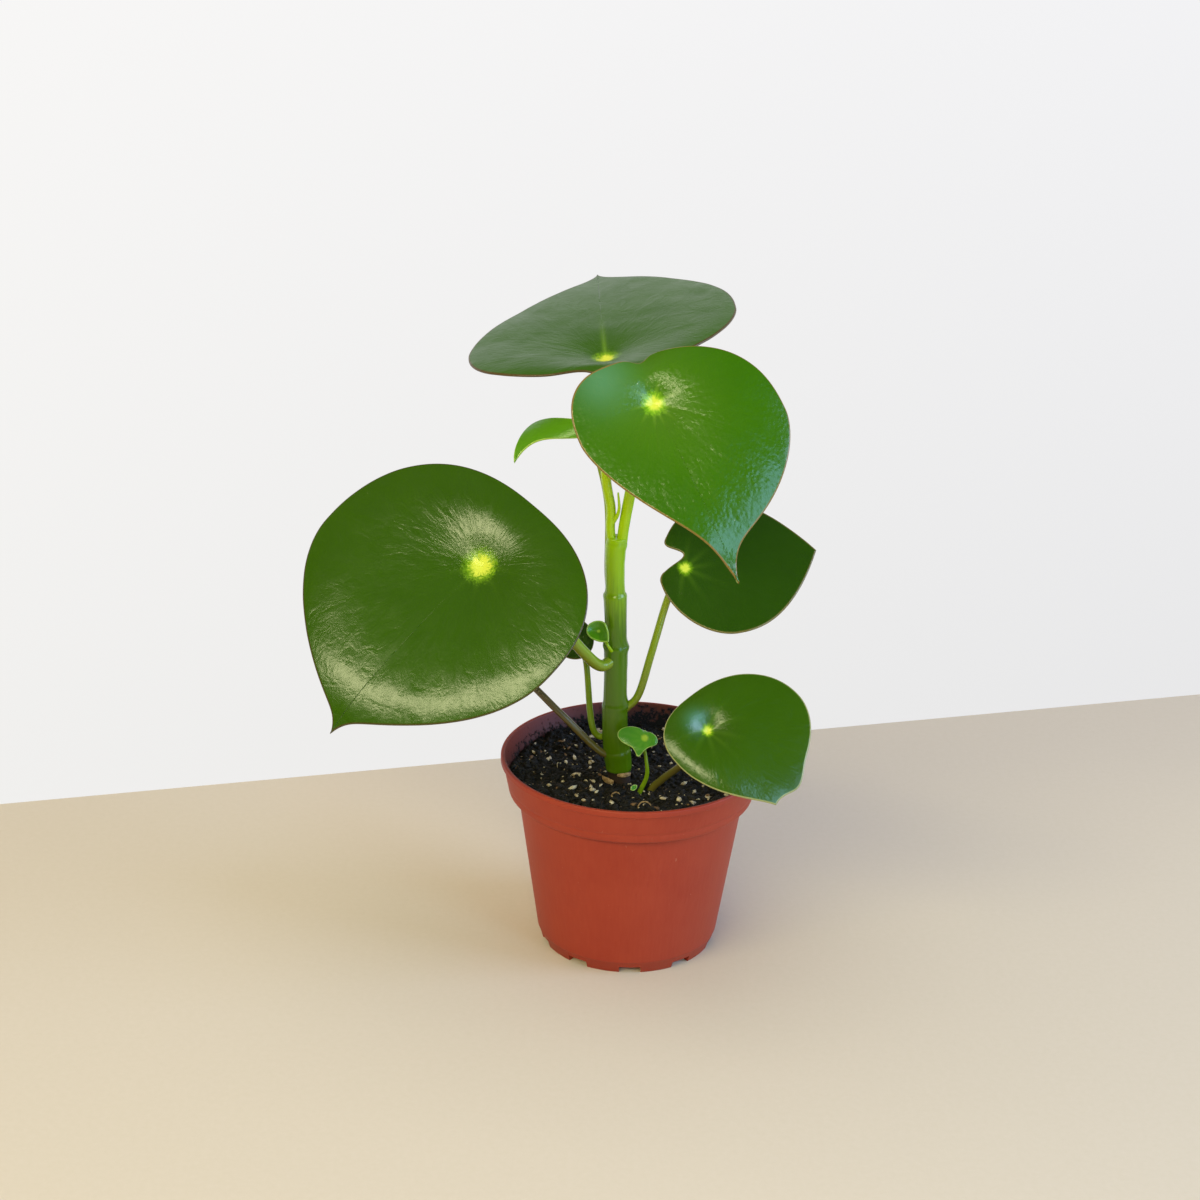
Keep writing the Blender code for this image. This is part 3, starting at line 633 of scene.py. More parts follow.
@dataclass(frozen=True)
class Blade:
    """A leaf blade, its sizes in millimetres and its angles in degrees.

    The spot is where its stalk is attached. The face looks up by rise and to the right by
    turn, and the tip is turned by tip_turn from straight downhill. Places on the blade are
    (along, across) from the spot, along pointing to the tip. The last drip of the tip's reach
    is drawn out to a point, drip_width wide. Each relief value is the rise or fall that it
    gives at the margin or at the tip. The left half rolls by a share of the right's, blended
    over lean_width. The brim is a soft ring round the spot that rises straight from it.

    Swells are (cell, share) of two noises, and they and the wrinkles grow from nothing at the
    spot to full at calm. The crease's sizes are shares of the half-width. The mesh fans out
    from the hub, and its round edge has a ring of points at each of the edge's turns. Glow is
    how yellow the middle is, partly the leaf's own colour and partly a painted warm highlight.
    The sheen places are places and reaches of a painted bluish sheen: painted reflections of
    cool light.
    """

    name: str
    node: str
    skin: LeafSkin
    spot: tuple[float, float, float]
    rise: float
    turn: float
    tip_turn: float
    tip: tuple[float, float]
    base: tuple[float, float]
    left: Half
    right: Half
    slot: str = "leaf"
    drip: float = 0.0
    drip_width: float = 4.0
    pulls: tuple[Pull, ...] = ()
    hook: float = 0.0
    funnel: float = 0.0
    funnel_width: float = 10.0
    dish: float = 0.0
    roll: float = 0.0
    roll_left: float = 1.0
    lean_width: float = 5.0
    curl: float = 0.0
    trough: float = 0.0
    brim: float = 0.0
    brim_reach: float = 20.0
    centre: tuple[float, float] = (0.0, 0.0)
    thickness: float = 1.2
    seat_depth: float = 0.6
    hub: tuple[float, float] | None = None
    spot_size: float = 5.0
    keel: float = 0.3
    crease_round: float = 0.04
    crease_width: float = 0.5
    swell: float = 0.3
    swells: tuple[tuple[float, float], ...] = ((23.0, 1.0), (9.0, 0.4))
    wrinkle: float = 0.035
    wrinkle_cell: float = 11.0
    calm: float = 12.0
    vein_depth: float = 0.05
    vein_glow: float = 0.15
    vein_reach: float = 10.0
    glow_and_highlight: float = 0.0
    glow_and_highlight_reach: float = 26.0
    painted_sheen_share: float = 0.35
    painted_sheen: tuple[tuple[float, float, float], ...] = ()
    veins: tuple[float, ...] = (0, 36, -36, 78, -78, 120, -120)
    vein_bend: float = 0.35
    vein_width: float = 0.9
    vein_widening: float = 0.012
    edge_turns: tuple[float, ...] = (30, 60, 90, 120, 150)
    around: int = 360
    rings: int = 64
    seed: int = 1

    def axes(self) -> np.ndarray:
        """Works out the blade's axes.

        Square is cos(rise) level + sin(rise) up, and along is downhill turned about it.

        Returns:
            Unit vectors along, across and square to the blade, as columns.
        """
        rise, turn, tip_turn = np.radians([self.rise, self.turn, self.tip_turn])
        level = np.array([math.sin(turn), -math.cos(turn), 0.0])
        up = np.array([0.0, 0.0, 1.0])
        square = math.cos(rise) * level + math.sin(rise) * up
        downhill = math.sin(rise) * level - math.cos(rise) * up
        along = math.cos(tip_turn) * downhill + math.sin(tip_turn) * np.cross(square, downhill)
        return np.array([along, np.cross(square, along), square]).T

    def quarter(self, end: tuple, half: Half, lengthwise: float, crosswise: float) -> np.ndarray:
        """A superellipse's quarter: along by cos(a)^(2/p) and across by sin(a)^(2/q).

        Args:
            end: the blade's end that the quarter starts from.
            half: the half whose widest point it reaches.
            lengthwise: the fullness p.
            crosswise: the fullness q.

        Returns:
            Flat points.
        """
        angle = np.linspace(0, math.pi / 2, QUARTER_POINTS)
        ahead = half.along + (end[0] - half.along) * np.cos(angle) ** (2 / lengthwise)
        aside = end[1] + (half.across - end[1]) * np.sin(angle) ** (2 / crosswise)
        return np.stack([ahead, aside], axis=1)

    def front(self, half: Half) -> np.ndarray:
        """The margin from the tip to a half's widest point: a quarter plus its drip.

        Args:
            half: the half.

        Returns:
            Flat points, moved ahead by drip exp(-|across| / drip_width).
        """
        body_tip = (self.tip[0] - self.drip, self.tip[1])
        line = self.quarter(body_tip, half, half.front, half.point)
        line[:, 0] += self.drip * np.exp(-np.abs(line[:, 1] - self.tip[1]) / self.drip_width)
        return line

    def margin(self, count: int) -> np.ndarray:
        """The closed margin: four quarters, pulled and hooked, walked in even steps.

        A pull moves a point by shift exp(-(away / width)^2), and the hook moves it aside by
        hook sin(pi reach^1.6), reach being its share of the way from the base to the tip.

        Args:
            count: how many steps.

        Returns:
            Flat points, from the tip round the left half first.
        """
        left, right = self.left, self.right
        quarters = [
            self.front(left),
            self.quarter(self.base, left, left.rear, left.rear)[::-1],
            self.quarter(self.base, right, right.rear, right.rear),
            self.front(right)[::-1],
        ]
        curve = np.vstack(quarters)
        for pull in self.pulls:
            away = polar(curve - pull.place)[0]
            curve += np.array(pull.shift) * bell(away, pull.width)[:, None]
        reach = (curve[:, 0] - self.base[0]) / (self.tip[0] - self.base[0])
        curve[:, 1] -= self.hook * np.sin(math.pi * np.clip(reach, 0, 1) ** 1.6)
        walked = way_along(curve)
        stops = np.linspace(0, walked[-1], count, endpoint=False)
        return np.stack([np.interp(stops, walked, column) for column in curve.T], axis=1)

    def share_out(self, flat: np.ndarray) -> np.ndarray:
        """How far flat points lie from the centre to a smooth margin of three waves.

        Args:
            flat: flat points.

        Returns:
            Distance over the radius a0 + sum(a cos(k angle) + b sin(k angle)), 1.12 at most.
        """

        def waves(angle: np.ndarray) -> np.ndarray:
            """One, and the cosine and sine of one to three times the angle."""
            turns = [f(order * angle) for order in (1, 2, 3) for f in (np.cos, np.sin)]
            return np.stack([np.ones_like(angle), *turns], axis=-1)

        radius, angle = polar(self.margin(COARSE_POINTS) - self.centre)
        weights = np.linalg.lstsq(waves(angle), radius, rcond=None)[0]
        away, angle = polar(flat - self.centre)
        return np.minimum(away / (waves(angle) @ weights), 1.12)

    def vein_share(self, flat: np.ndarray) -> np.ndarray:
        """Nearness to a vein: a bell of the gap to it, each vein bending towards the tip.

        A vein starts at its own angle and loses vein_bend of it on the way to the tip. It widens
        evenly from the spot, and every second and third vein is 0.1 and 0.2 mm wider.

        Args:
            flat: flat points.

        Returns:
            Shares from 0 to 1.
        """
        radius, angle = polar(flat)
        share = np.zeros_like(radius)
        for number, start in enumerate(np.radians(self.veins)):
            path = start * (1 - self.vein_bend * np.clip(radius / self.tip[0], 0, 1))
            gap = radius * np.abs(np.angle(np.exp(1j * (angle - path))))
            width = self.vein_width + self.vein_widening * radius + 0.1 * (number % 3)
            share = np.maximum(share, bell(gap, width))
        return share * np.clip(radius / 4, 0, 1) * np.clip(1.25 - radius / self.tip[0], 0, 1)

    def height(self, flat: np.ndarray) -> np.ndarray:
        """The upper face over the blade's plane: the CAD blade's form, and finer forms on it.

        It is a funnel at the spot, plus a dish and a brim, less a rolled margin, a curled tip
        and a trough along the midrib, then a crease at the midrib, grooves at the veins, long
        soft swells and wrinkles that fan out from the spot.

        Args:
            flat: flat points.

        Returns:
            Heights in millimetres.
        """
        distance, angle = polar(flat)
        share = self.share_out(flat)
        ahead = np.clip(flat[..., 0], 0, None) / self.tip[0]
        side = flat[..., 1] / max(-self.left.across, self.right.across)
        leftness = 1 / (1 + np.exp(flat[..., 1] / self.lean_width))
        brim = distance / self.brim_reach
        lean = 1 - (1 - self.roll_left) * leftness
        form = (
            self.funnel * (1 - np.exp(-(np.hypot(distance, 1) - 1) / self.funnel_width))
            + self.dish * share**2
            - self.roll * lean * share**4
            + self.brim * lean * brim * np.exp((1 - brim**2) / 2)
            - self.curl * ahead**4
            - self.trough * side**2
        )
        crease = np.hypot(side, self.crease_round) - self.crease_round
        crease = crease * bell(side, self.crease_width) * np.clip(3 * ahead, 0, 1)
        swell = sum(
            part * value_noise(flat, cell, self.seed + i) for i, (cell, part) in enumerate(self.swells)
        )
        fan = np.stack([angle / math.tau * NOISE_CELLS, distance / self.wrinkle_cell], axis=-1)
        wrinkles = value_noise(fan, 1, self.seed + len(self.swells))
        away = np.clip(distance / self.calm, 0, 1)
        return (
            form
            + self.keel * crease
            - self.vein_depth * self.vein_share(flat)
            + self.swell * swell * away
            + self.wrinkle * wrinkles * away
        )

    def upward(self, flat: np.ndarray) -> np.ndarray:
        """The upper face's unit normal in the blade's own axes, by central differences.

        Args:
            flat: flat points.

        Returns:
            Normals.
        """
        step = 0.3
        along, across = np.array([step, 0]), np.array([0, step])
        slope_x = (self.height(flat + along) - self.height(flat - along)) / (2 * step)
        slope_y = (self.height(flat + across) - self.height(flat - across)) / (2 * step)
        normal = np.stack([-slope_x, -slope_y, np.ones_like(slope_x)], axis=-1)
        return normal / np.linalg.norm(normal, axis=-1, keepdims=True)

    def world(self, local: np.ndarray) -> np.ndarray:
        """Places along, across and square to the blade, in metres of the scene."""
        return (np.array(self.spot) + local @ self.axes().T) * MM

    def seat(self) -> tuple[np.ndarray, np.ndarray]:
        """Finds where its stalk ends, in metres.

        Returns:
            The place just past halfway into the blade at the spot, and the unit normal there.
        """
        flat = np.zeros((1, 2))
        normal = self.upward(flat)[0]
        top = np.array([0, 0, self.height(flat)[0]]) - normal * self.thickness * self.seat_depth
        return self.world(top), self.axes() @ normal

    def build(self) -> bpy.types.Object:
        """Builds the upper face, rounded margin and lower face as rings, pole to pole.

        The flat place of a ring's point is hub + share (margin - hub), the margin drawn in by
        half the thickness so that the round edge reaches the outline. The shares crowd towards
        the margin, and the lower face takes every third ring of the upper one. The edge is
        middle + half (cos(a) normal + sin(a) outward), a being each of the edge's turns.

        Returns:
            The piece.
        """
        half = self.thickness / 2
        hub = np.array(self.hub or self.centre, float)
        rim = self.margin(self.around)
        tangent = np.roll(rim, -1, axis=0) - np.roll(rim, 1, axis=0)
        outward = np.stack([tangent[:, 1], -tangent[:, 0]], axis=1)
        ahead = np.roll(rim, -1, axis=0)
        outward *= np.sign(np.sum(rim[:, 0] * ahead[:, 1] - ahead[:, 0] * rim[:, 1]))
        outward /= np.linalg.norm(outward, axis=1, keepdims=True)
        inset = rim - half * outward
        shares = 1 - (1 - np.linspace(0, 1, self.rings + 1)[1:]) ** 1.2
        flat = hub + shares[:, None, None] * (inset - hub)
        normal = self.upward(flat)
        upper = np.concatenate([flat, self.height(flat)[..., None]], axis=-1)
        lower = (upper - normal * self.thickness)[self.rings - 1 :: -3]
        edge_out = np.concatenate([outward, np.zeros((self.around, 1))], axis=1)
        edge_out -= normal[-1] * np.sum(edge_out * normal[-1], axis=1, keepdims=True)
        turns = np.radians(self.edge_turns)[:, None, None]
        middle = upper[-1] - normal[-1] * half
        edge = middle + half * (np.cos(turns) * normal[-1] + np.sin(turns) * edge_out)
        rings = np.concatenate([upper, edge, lower])
        top = np.append(hub, self.height(hub))
        under = top - np.array([0, 0, self.thickness])
        points, faces = capped_tube(self.world(rings), self.world(np.stack([top, under])))
        return make_piece(
            self.name,
            points,
            faces,
            self.skin.material(),
            (self.node,) if self.node else (),
            self.marks(rings, hub),
        )

    def marks(self, rings: np.ndarray, hub: np.ndarray) -> dict[str, np.ndarray]:
        """Works out colour shares and coordinates at every point, the two poles last.

        The spot's share is 0.65 in its middle and falls evenly. The fan's rings are 9 noise
        cells in radius, drawn in within 14 mm of the spot, and 10 mm of the way is one cell.

        Args:
            rings: the blade's points in its own axes.
            hub: the flat place of both poles.

        Returns:
            The shares of the spot, veins with the yellow middle, painted sheen, rim and underside,
            and fan: (cos, sin, distance) about the spot, stretched so that noise fans out.
        """
        flat = np.vstack([rings[..., :2].reshape(-1, 2), hub, hub])
        distance, angle = polar(flat)
        vein = self.vein_glow * self.vein_share(flat) * bell(distance, self.vein_reach)
        # The glow: a yellow middle, partly the leaf's own colour and partly a painted warm highlight.
        vein = np.maximum(vein, self.glow_and_highlight * bell(distance, self.glow_and_highlight_reach))
        painted_sheen = np.zeros_like(distance)
        for along, across, reach in self.painted_sheen:
            away = polar(flat - [along, across])[0]
            painted_sheen = np.maximum(painted_sheen, self.painted_sheen_share * bell(away, reach))
        order = np.arange(len(rings))
        below = self.rings + len(self.edge_turns)
        rim = np.interp(order, [self.rings - 2, self.rings - 1, below], [0, 0.75, 1])
        rim[order > below] = 0
        under = (order > below - 2).astype(float)
        around = rings.shape[1]
        close = np.clip(distance / 14, 0.3, 1)
        fan = np.column_stack([on_circle(9 * close, angle), distance / 10])
        return {
            "spot": 0.65 - distance / self.spot_size,
            "vein": vein,
            "painted_sheen": painted_sheen,
            "rim": np.append(np.repeat(rim, around), [0, 0]),
            "under": np.append(np.repeat(under, around), [0, 1]),
            "fan": fan + self.seed * 3.7,
        }


@dataclass(frozen=True)
class Stalk:
    """A round stalk through its bends, tapering evenly, its sizes in millimetres.

    Flare widens its start and belly its middle. The neck is where it meets its blade: distances
    from the seat, and the share of its end radius there. Blush is how brown its lower side is.
    Lumps is the height of low swellings, lumps_round of them round it and lump_length long.
    """

    name: str
    node: str
    skin: StalkSkin
    bends: tuple[tuple[float, float, float], ...]
    start_radius: float
    end_radius: float
    leaf: str = ""
    slot: str = "stalk_flesh"
    flare: float = 0.0
    flare_reach: float = 3.0
    belly: float = 0.0
    neck: tuple[tuple[float, float], ...] = ((5.0, 1.0), (1.2, 1.12), (0.0, 1.2))
    blush: float = 0.0
    around: int = 36
    lumps: float = 0.05
    lumps_round: int = 2
    lump_length: float = 4.0
    end_round: tuple[float, float] = (0.35, 0.8)
    seed: int = 5

    def line(self, blade: Blade | None) -> np.ndarray:
        """The route and radius, the end turned to meet the blade's underside squarely.

        Args:
            blade: the blade that the stalk carries, or None.

        Returns:
            Rows of x, y, z and radius in metres.
        """
        radii = np.linspace(self.start_radius, self.end_radius, len(self.bends))
        rows = np.column_stack([self.bends, radii]) * MM
        if blade is not None:
            seat, square = blade.seat()
            wide = rows[-1, 3]
            for run, share in self.neck:
                rows = np.vstack([rows, np.append(seat - square * run * MM, wide * share)])
        return smooth_open(rows, 12)

    def build(self, blade: Blade | None = None) -> bpy.types.Object:
        """Builds rings square to the route, rounded off at both ends.

        The radius is the taper, plus the flare, a bell of the way walked, plus belly
        sin(pi share of the way), plus low lumps.

        Args:
            blade: the blade that the stalk carries, or None.

        Returns:
            The piece.
        """
        rows = self.line(blade)
        centre = rows[:, :3]
        walked = way_along(centre)
        radius = rows[:, 3] + self.flare * MM * bell(walked, self.flare_reach * MM)
        radius += self.belly * MM * np.sin(math.pi * walked / walked[-1])
        radius = radius[:, None] + self.lumpy(walked / MM) * MM
        return self.dress(rings_along(centre, radius), centre, walked)

    def lumpy(self, length: np.ndarray) -> np.ndarray:
        """Low lumps of value noise round the stalk, fading by sin(angle / 2)^2 to a seam.

        Args:
            length: the way along the stalk in millimetres.

        Returns:
            Heights in millimetres, as (ring, place round it).
        """
        turn = full_turn(self.around)
        across = turn / math.tau * self.lumps_round * self.lump_length
        lattice = np.stack(np.meshgrid(length, across, indexing="ij"), axis=-1)
        return self.lumps * value_noise(lattice, self.lump_length, self.seed) * np.sin(turn / 2) ** 2

    def dress(self, rings: np.ndarray, centre: np.ndarray, walked: np.ndarray) -> bpy.types.Object:
        """Closes the skin, with two smaller rings at each end, and gives it its finish.

        The fibres' coordinates are 5 noise cells in radius and one cell to each 16 mm along.

        Args:
            rings: its points as (ring, place round it, xyz).
            centre: the route.
            walked: the way along the route.

        Returns:
            The piece.
        """
        shrink = np.array(self.end_round)[:, None, None]
        first = centre[0] + shrink * (rings[0] - centre[0])
        last = centre[-1] + shrink[::-1] * (rings[-1] - centre[-1])
        skin = np.concatenate([first, rings, last])
        points, faces = capped_tube(skin)
        walked = np.pad(walked, (2, 2), mode="edge")
        middle = np.pad(centre, ((2, 2), (0, 0)), mode="edge")
        outward = skin - middle[:, None]
        outward /= np.linalg.norm(outward, axis=-1, keepdims=True)
        below = np.append(np.clip(0.25 - outward[..., 2], 0, 1).ravel(), [0, 0])
        turn = full_turn(rings.shape[1])
        length, angle = (table.ravel() for table in np.meshgrid(walked / MM, turn, indexing="ij"))
        grain = np.column_stack([on_circle(5, angle), length / 16])
        marks = {
            "scar": self.scars(points[:, 2] / MM),
            "blush": self.blush * below,
            "bark": self.bark(points[:, 2] / MM),
            "grain": np.vstack([grain, grain[:1], grain[-1:]]) + self.seed,
        }
        nodes = (self.node,) if self.node else ()
        return make_piece(self.name, points, faces, self.skin.material(), nodes, marks)

    def scars(self, height: np.ndarray) -> np.ndarray:
        """The share of scar at some heights: a plain stalk has none."""
        return np.zeros_like(height)

    def bark(self, height: np.ndarray) -> np.ndarray:
        """The share of bark at some heights: a plain stalk has none."""
        return np.zeros_like(height)


@dataclass(frozen=True)
class Joint:
    """A joint of the stem: its height, the radius below and above it, and its bump.

    The bump is where it bulges, in degrees from the left round by the back, and by how much.
    """

    height: float
    below: float
    above: float
    bump_turn: float = 180.0
    bump: float = 0.0


@dataclass(frozen=True)
class Stem(Stalk):
    """The jointed main stem: slim between its joints, with a ledge and a scar at each.

    The ledge and the scar have a height or share, a width and a place under or over the joint.
    """

    joints: tuple[Joint, ...] = ()
    lumps_round: int = 4
    levels: int = 240
    joint_length: float = 3.0
    waist: float = 0.15
    ledge: float = 0.1
    ledge_width: float = 1.3
    ledge_under: float = 1.2
    bump_length: float = 2.2
    bump_spread: float = 0.6
    scar: float = 0.14
    scar_width: float = 0.6
    scar_over: float = 0.4
    bark_top: float = 88.0
    bark_waist: float = 0.6

    def build(self, blade: Blade | None = None) -> bpy.types.Object:
        """Builds the stem along its bends with a radius that steps at each joint.

        The radius runs smoothly through two values at each joint and a slimmer one between
        joints. To it come a bell of the height for each ledge, and for the bump on one side a
        bell of the height times one of the angle. The barked foot is slimmer.

        Args:
            blade: unused, as the stem carries no blade itself.

        Returns:
            The piece.
        """
        line = smooth_open(np.array(self.bends, float), 12)
        rows = [(line[0, 2], self.start_radius)]
        for joint in self.joints:
            below = joint.height - self.joint_length / 2
            waist = (rows[-1][1] + joint.below) / 2 - self.waist
            middle = (rows[-1][0] + below) / 2
            rows += [(middle, waist), (below, joint.below), (below + self.joint_length, joint.above)]
        rows.append((line[-1, 2], rows[-1][1]))
        smooth = smooth_open(np.array(rows), 8)
        levels = np.linspace(line[0, 2], line[-1, 2], self.levels)
        radius = np.interp(levels, smooth[:, 0], smooth[:, 1])
        radius -= self.bark_waist * np.clip((self.bark_top + 1 - levels) / 2, 0, 1)
        turn = full_turn(self.around)
        reach = np.repeat(radius[:, None], self.around, axis=1)
        for joint in self.joints:
            gap = levels - joint.height
            reach += (self.ledge * bell(gap + self.ledge_under, self.ledge_width))[:, None]
            off = np.angle(np.exp(1j * (turn - math.radians(joint.bump_turn))))
            reach += joint.bump * bell(gap, self.bump_length)[:, None] * bell(off, self.bump_spread)
        reach += self.lumpy(levels)
        route = [np.interp(levels, line[:, 2], line[:, axis]) for axis in (0, 1)]
        centre = np.stack([*route, levels], axis=1) * MM
        return self.dress(rings_along(centre, reach * MM), centre, (levels - levels[0]) * MM)

    def scars(self, height: np.ndarray) -> np.ndarray:
        """The share of scar: a thin ring just above each joint's ledge."""
        gaps = np.array([height - joint.height - self.scar_over for joint in self.joints])
        return self.scar * bell(gaps, self.scar_width).max(axis=0)

    def bark(self, height: np.ndarray) -> np.ndarray:
        """The share of bark: all 1 mm below the bark's top, none 1.5 mm above it."""
        return np.clip((self.bark_top + 1.5 - height) / 2.5, 0, 1)


@dataclass(frozen=True)
class Curl:
    """A curled shaving of bark or husk: a thin strip bent round part of a ring."""

    name: str
    finish: Grains
    place: tuple[float, float, float]
    radius: float
    sweep: float
    start: float = 0.0
    tilt: float = 20.0
    width: float = 0.9
    thickness: float = 0.35
    steps: int = 40
    around: int = 12

    def build(self) -> bpy.types.Object:
        """Builds the strip: an oval section carried round an arc, which leans by tilt.

        Returns:
            The piece.
        """
        turn = np.radians(self.start + np.linspace(0, self.sweep, self.steps))[:, None, None]
        around = full_turn(self.around)[None, :, None]
        taper = np.sin(np.linspace(0.12, math.pi - 0.12, self.steps))[:, None, None] ** 0.4
        out = self.radius + taper * self.thickness * np.cos(around)
        high = taper * self.width * np.sin(around)
        flat = np.concatenate([out * np.cos(turn), out * np.sin(turn), high + 0 * turn], axis=2)
        lean = np.array(Matrix.Rotation(math.radians(self.tilt), 3, "X"))
        points, faces = capped_tube((np.array(self.place) + flat @ lean.T) * MM)
        return make_piece(self.name, points, faces, self.finish.material())


@dataclass(frozen=True)
class Pot:
    """The nursery pot: a turned shell with a rounded lip, notched foot and drain holes.

    Sizes are millimetres. Each drop is a depth under the lip's top and each inset a distance
    in from the lip's outer edge. The collar's lower edge, the step under it and the foot are
    corners as (inset, drop). A shallow groove runs round the collar, a band above its edge.
    Peat dust and painted shade inside are full at their given height and thin out over the
    given fade above it.
    """

    height: float = 91.3
    rim_radius: float = 60.0
    wall: float = 1.4
    lip_drop: float = 2.9
    lip_proud: float = 1.0
    lip_width: float = 1.8
    lip_round: float = 0.8
    inside_round: float = 2.0
    fine_round: float = 0.5
    collar_round: float = 0.4
    foot_round: float = 0.3
    foot_flare: tuple[float, float] = (0.2, 0.3)
    collar: tuple[float, float] = (4.0, 17.2)
    step: tuple[float, float] = (8.0, 17.6)
    foot: tuple[float, float] = (18.15, 85.3)
    ledge: float = 0.3
    edge_round: float = 1.2
    band: float = 4.2
    band_groove: float = 0.22
    band_width: float = 0.7
    floor_top: float = 5.0
    floor_underside: float = 2.8
    foot_radius: float = 39.7
    foot_inner_radius: float = 35.8
    centre_foot: float = 12.0
    notches: int = 10
    notch_size: tuple[float, float] = (9.8, 3.2)
    notch_reach: float = 6.0
    first_notch: float = -87.0
    drain_holes: int = 5
    drain_radius: float = 4.0
    drain_circle: float = 25.0
    dust_and_shade_height: float = 82.0
    dust_and_shade_fade: float = 9.0
    around: int = 240

    def under_rim(self, inset: float, drop: float) -> np.ndarray:
        """A point of the section as (radius, height)."""
        return np.array([self.rim_radius - inset, self.height - drop])

    def inner(self, gap: float = 0.0) -> np.ndarray:
        """The inside, from the lip down to the floor: the outer corners moved in by the wall.

        Args:
            gap: how far a filling stays clear of it.

        Returns:
            Points as (radius, height).
        """
        deep = self.wall + gap
        corners = [self.under_rim(x + deep, y - deep) for x, y in (self.collar, self.step)]
        foot = self.under_rim(self.foot[0] + deep, self.height - self.floor_top)
        return np.array([self.under_rim(self.lip_width + gap, 0), *corners, foot])

    @staticmethod
    def soft(corner: np.ndarray, before: np.ndarray, after: np.ndarray, reach: float) -> np.ndarray:
        """A corner turned into a soft edge: (1-t)^2 start + 2t(1-t) corner + t^2 end.

        Args:
            corner: the corner.
            before: the point before it.
            after: the point after it.
            reach: how far from the corner the edge starts and ends.

        Returns:
            Seven points.
        """
        start = corner + (before - corner) / np.linalg.norm(before - corner) * reach
        end = corner + (after - corner) / np.linalg.norm(after - corner) * reach
        t = np.linspace(0, 1, 7)[:, None]
        return (1 - t) ** 2 * start + 2 * t * (1 - t) * corner + t**2 * end

    def section(self) -> np.ndarray:
        """The closed section from the floor's edge, up inside, over the lip and down to the feet.

        The groove is a bell cut into the collar, from 2 mm above its middle to 2 mm below.

        Returns:
            Points as (radius, height).
        """
        lip_top, lip_edge = self.under_rim(self.lip_width, 0), self.under_rim(0, 0)
        lip_foot = self.under_rim(0, self.lip_drop)
        collar_top = self.under_rim(self.lip_proud, self.lip_drop)
        collar, top, foot = (self.under_rim(*corner) for corner in (self.collar, self.step, self.foot))
        inner = self.inner()[::-1]
        ledge = foot - self.ledge
        down = (collar - collar_top) / np.linalg.norm(collar - collar_top)
        out = np.array([-down[1], down[0]])
        along = np.linspace(-2, 2, 11)[:, None]
        groove = collar - down * self.band + down * along
        groove -= out * self.band_groove * bell(along, self.band_width)
        flare, flare_height = self.foot_flare
        feet = [
            (self.foot_radius + flare, flare_height),
            (self.foot_radius - 0.1, 0.0),
            (self.foot_inner_radius, 0.0),
            (self.foot_inner_radius, self.floor_underside),
            (self.centre_foot + 1, self.floor_underside),
            (self.centre_foot, 0.0),
        ]
        return np.vstack(
            [
                inner[0],
                self.soft(inner[1], inner[0], inner[2], self.inside_round),
                self.soft(inner[2], inner[1], inner[3], self.inside_round),
                self.soft(lip_top, inner[2], lip_edge, self.fine_round),
                self.soft(lip_edge, lip_top, lip_foot, self.lip_round),
                self.soft(lip_foot, lip_edge, collar_top, self.fine_round),
                self.soft(collar_top, lip_foot, collar, self.collar_round),
                np.linspace(collar_top, groove[0], 5)[1:-1],
                groove,
                self.soft(collar, collar_top, top, self.edge_round),
                self.soft(top, collar, foot, self.fine_round),
                np.linspace(top, foot, 14)[1:-1],
                self.soft(foot, top, ledge, self.foot_round),
                ledge,
                feet,
            ]
        )

    def build(self) -> bpy.types.Object:
        """Builds the section carried round the axis, then notched and drilled.

        Returns:
            The piece.
        """
        points, faces = capped_tube(turned_rings(self.section() * MM, self.around))
        blank = new_object("pot_blank", new_mesh("pot_blank", points, [face[::-1] for face in faces]))
        cutters = [self.notch_cutter(), self.drain_cutter()]
        for cutter in cutters:
            cut = blank.modifiers.new(cutter.name, "BOOLEAN")
            cut.operation = "DIFFERENCE"
            cut.solver = "EXACT"
            cut.object = cutter
        graph = bpy.context.evaluated_depsgraph_get()
        mesh = bpy.data.meshes.new_from_object(blank.evaluated_get(graph))
        for helper in (blank, *cutters):
            bpy.data.objects.remove(helper, do_unlink=True)
        corners = np.empty(len(mesh.vertices) * 3)
        mesh.vertices.foreach_get("co", corners)
        corners = corners.reshape(-1, 3)
        outlines = [list(face.vertices) for face in mesh.polygons]
        marks = {"dust_and_shade": self.dust_and_shade(corners / MM)}
        finish = PotPlastic().material()
        return make_piece("moulded_pot", corners, outlines, finish, ("pot",), marks, 32.0)

    @staticmethod
    def cutter(name: str, outlines: list[np.ndarray], low: float, high: float) -> bpy.types.Object:
        """Makes upright prisms through closed outlines, as one helper object.

        Args:
            name: the helper's name.
            outlines: flat outlines, all with as many points.
            low: the prisms' underside.
            high: the prisms' top.

        Returns:
            The helper.
        """
        count = len(outlines[0])
        here = np.arange(count)
        ahead = np.roll(here, -1)
        sides = np.stack([here, ahead, ahead + count, here + count], axis=1).tolist()
        solid = [*sides, here[::-1].tolist(), (here + count).tolist()]
        starts = range(0, 2 * count * len(outlines), 2 * count)
        faces = [[corner + start for corner in face] for start in starts for face in solid]
        levels = (np.full((count, 1), low), np.full((count, 1), high))
        points = np.vstack([np.hstack([outline, level]) for outline in outlines for level in levels])
        return new_object(name, new_mesh(name, points * MM, faces))

    def notch_cutter(self) -> bpy.types.Object:
        """One box across the foot ring for each notch."""
        width, high = self.notch_size
        corners = np.array([(-1, -1), (1, -1), (1, 1), (-1, 1)])
        box = corners * [self.notch_reach, width / 2] + [self.foot_radius, 0]
        angles = np.radians(self.first_notch + np.arange(self.notches) * 360 / self.notches)
        turns = [on_circle(1, np.array([a, a + math.pi / 2])) for a in angles]
        return self.cutter("notches", [box @ turn for turn in turns], -high, high)

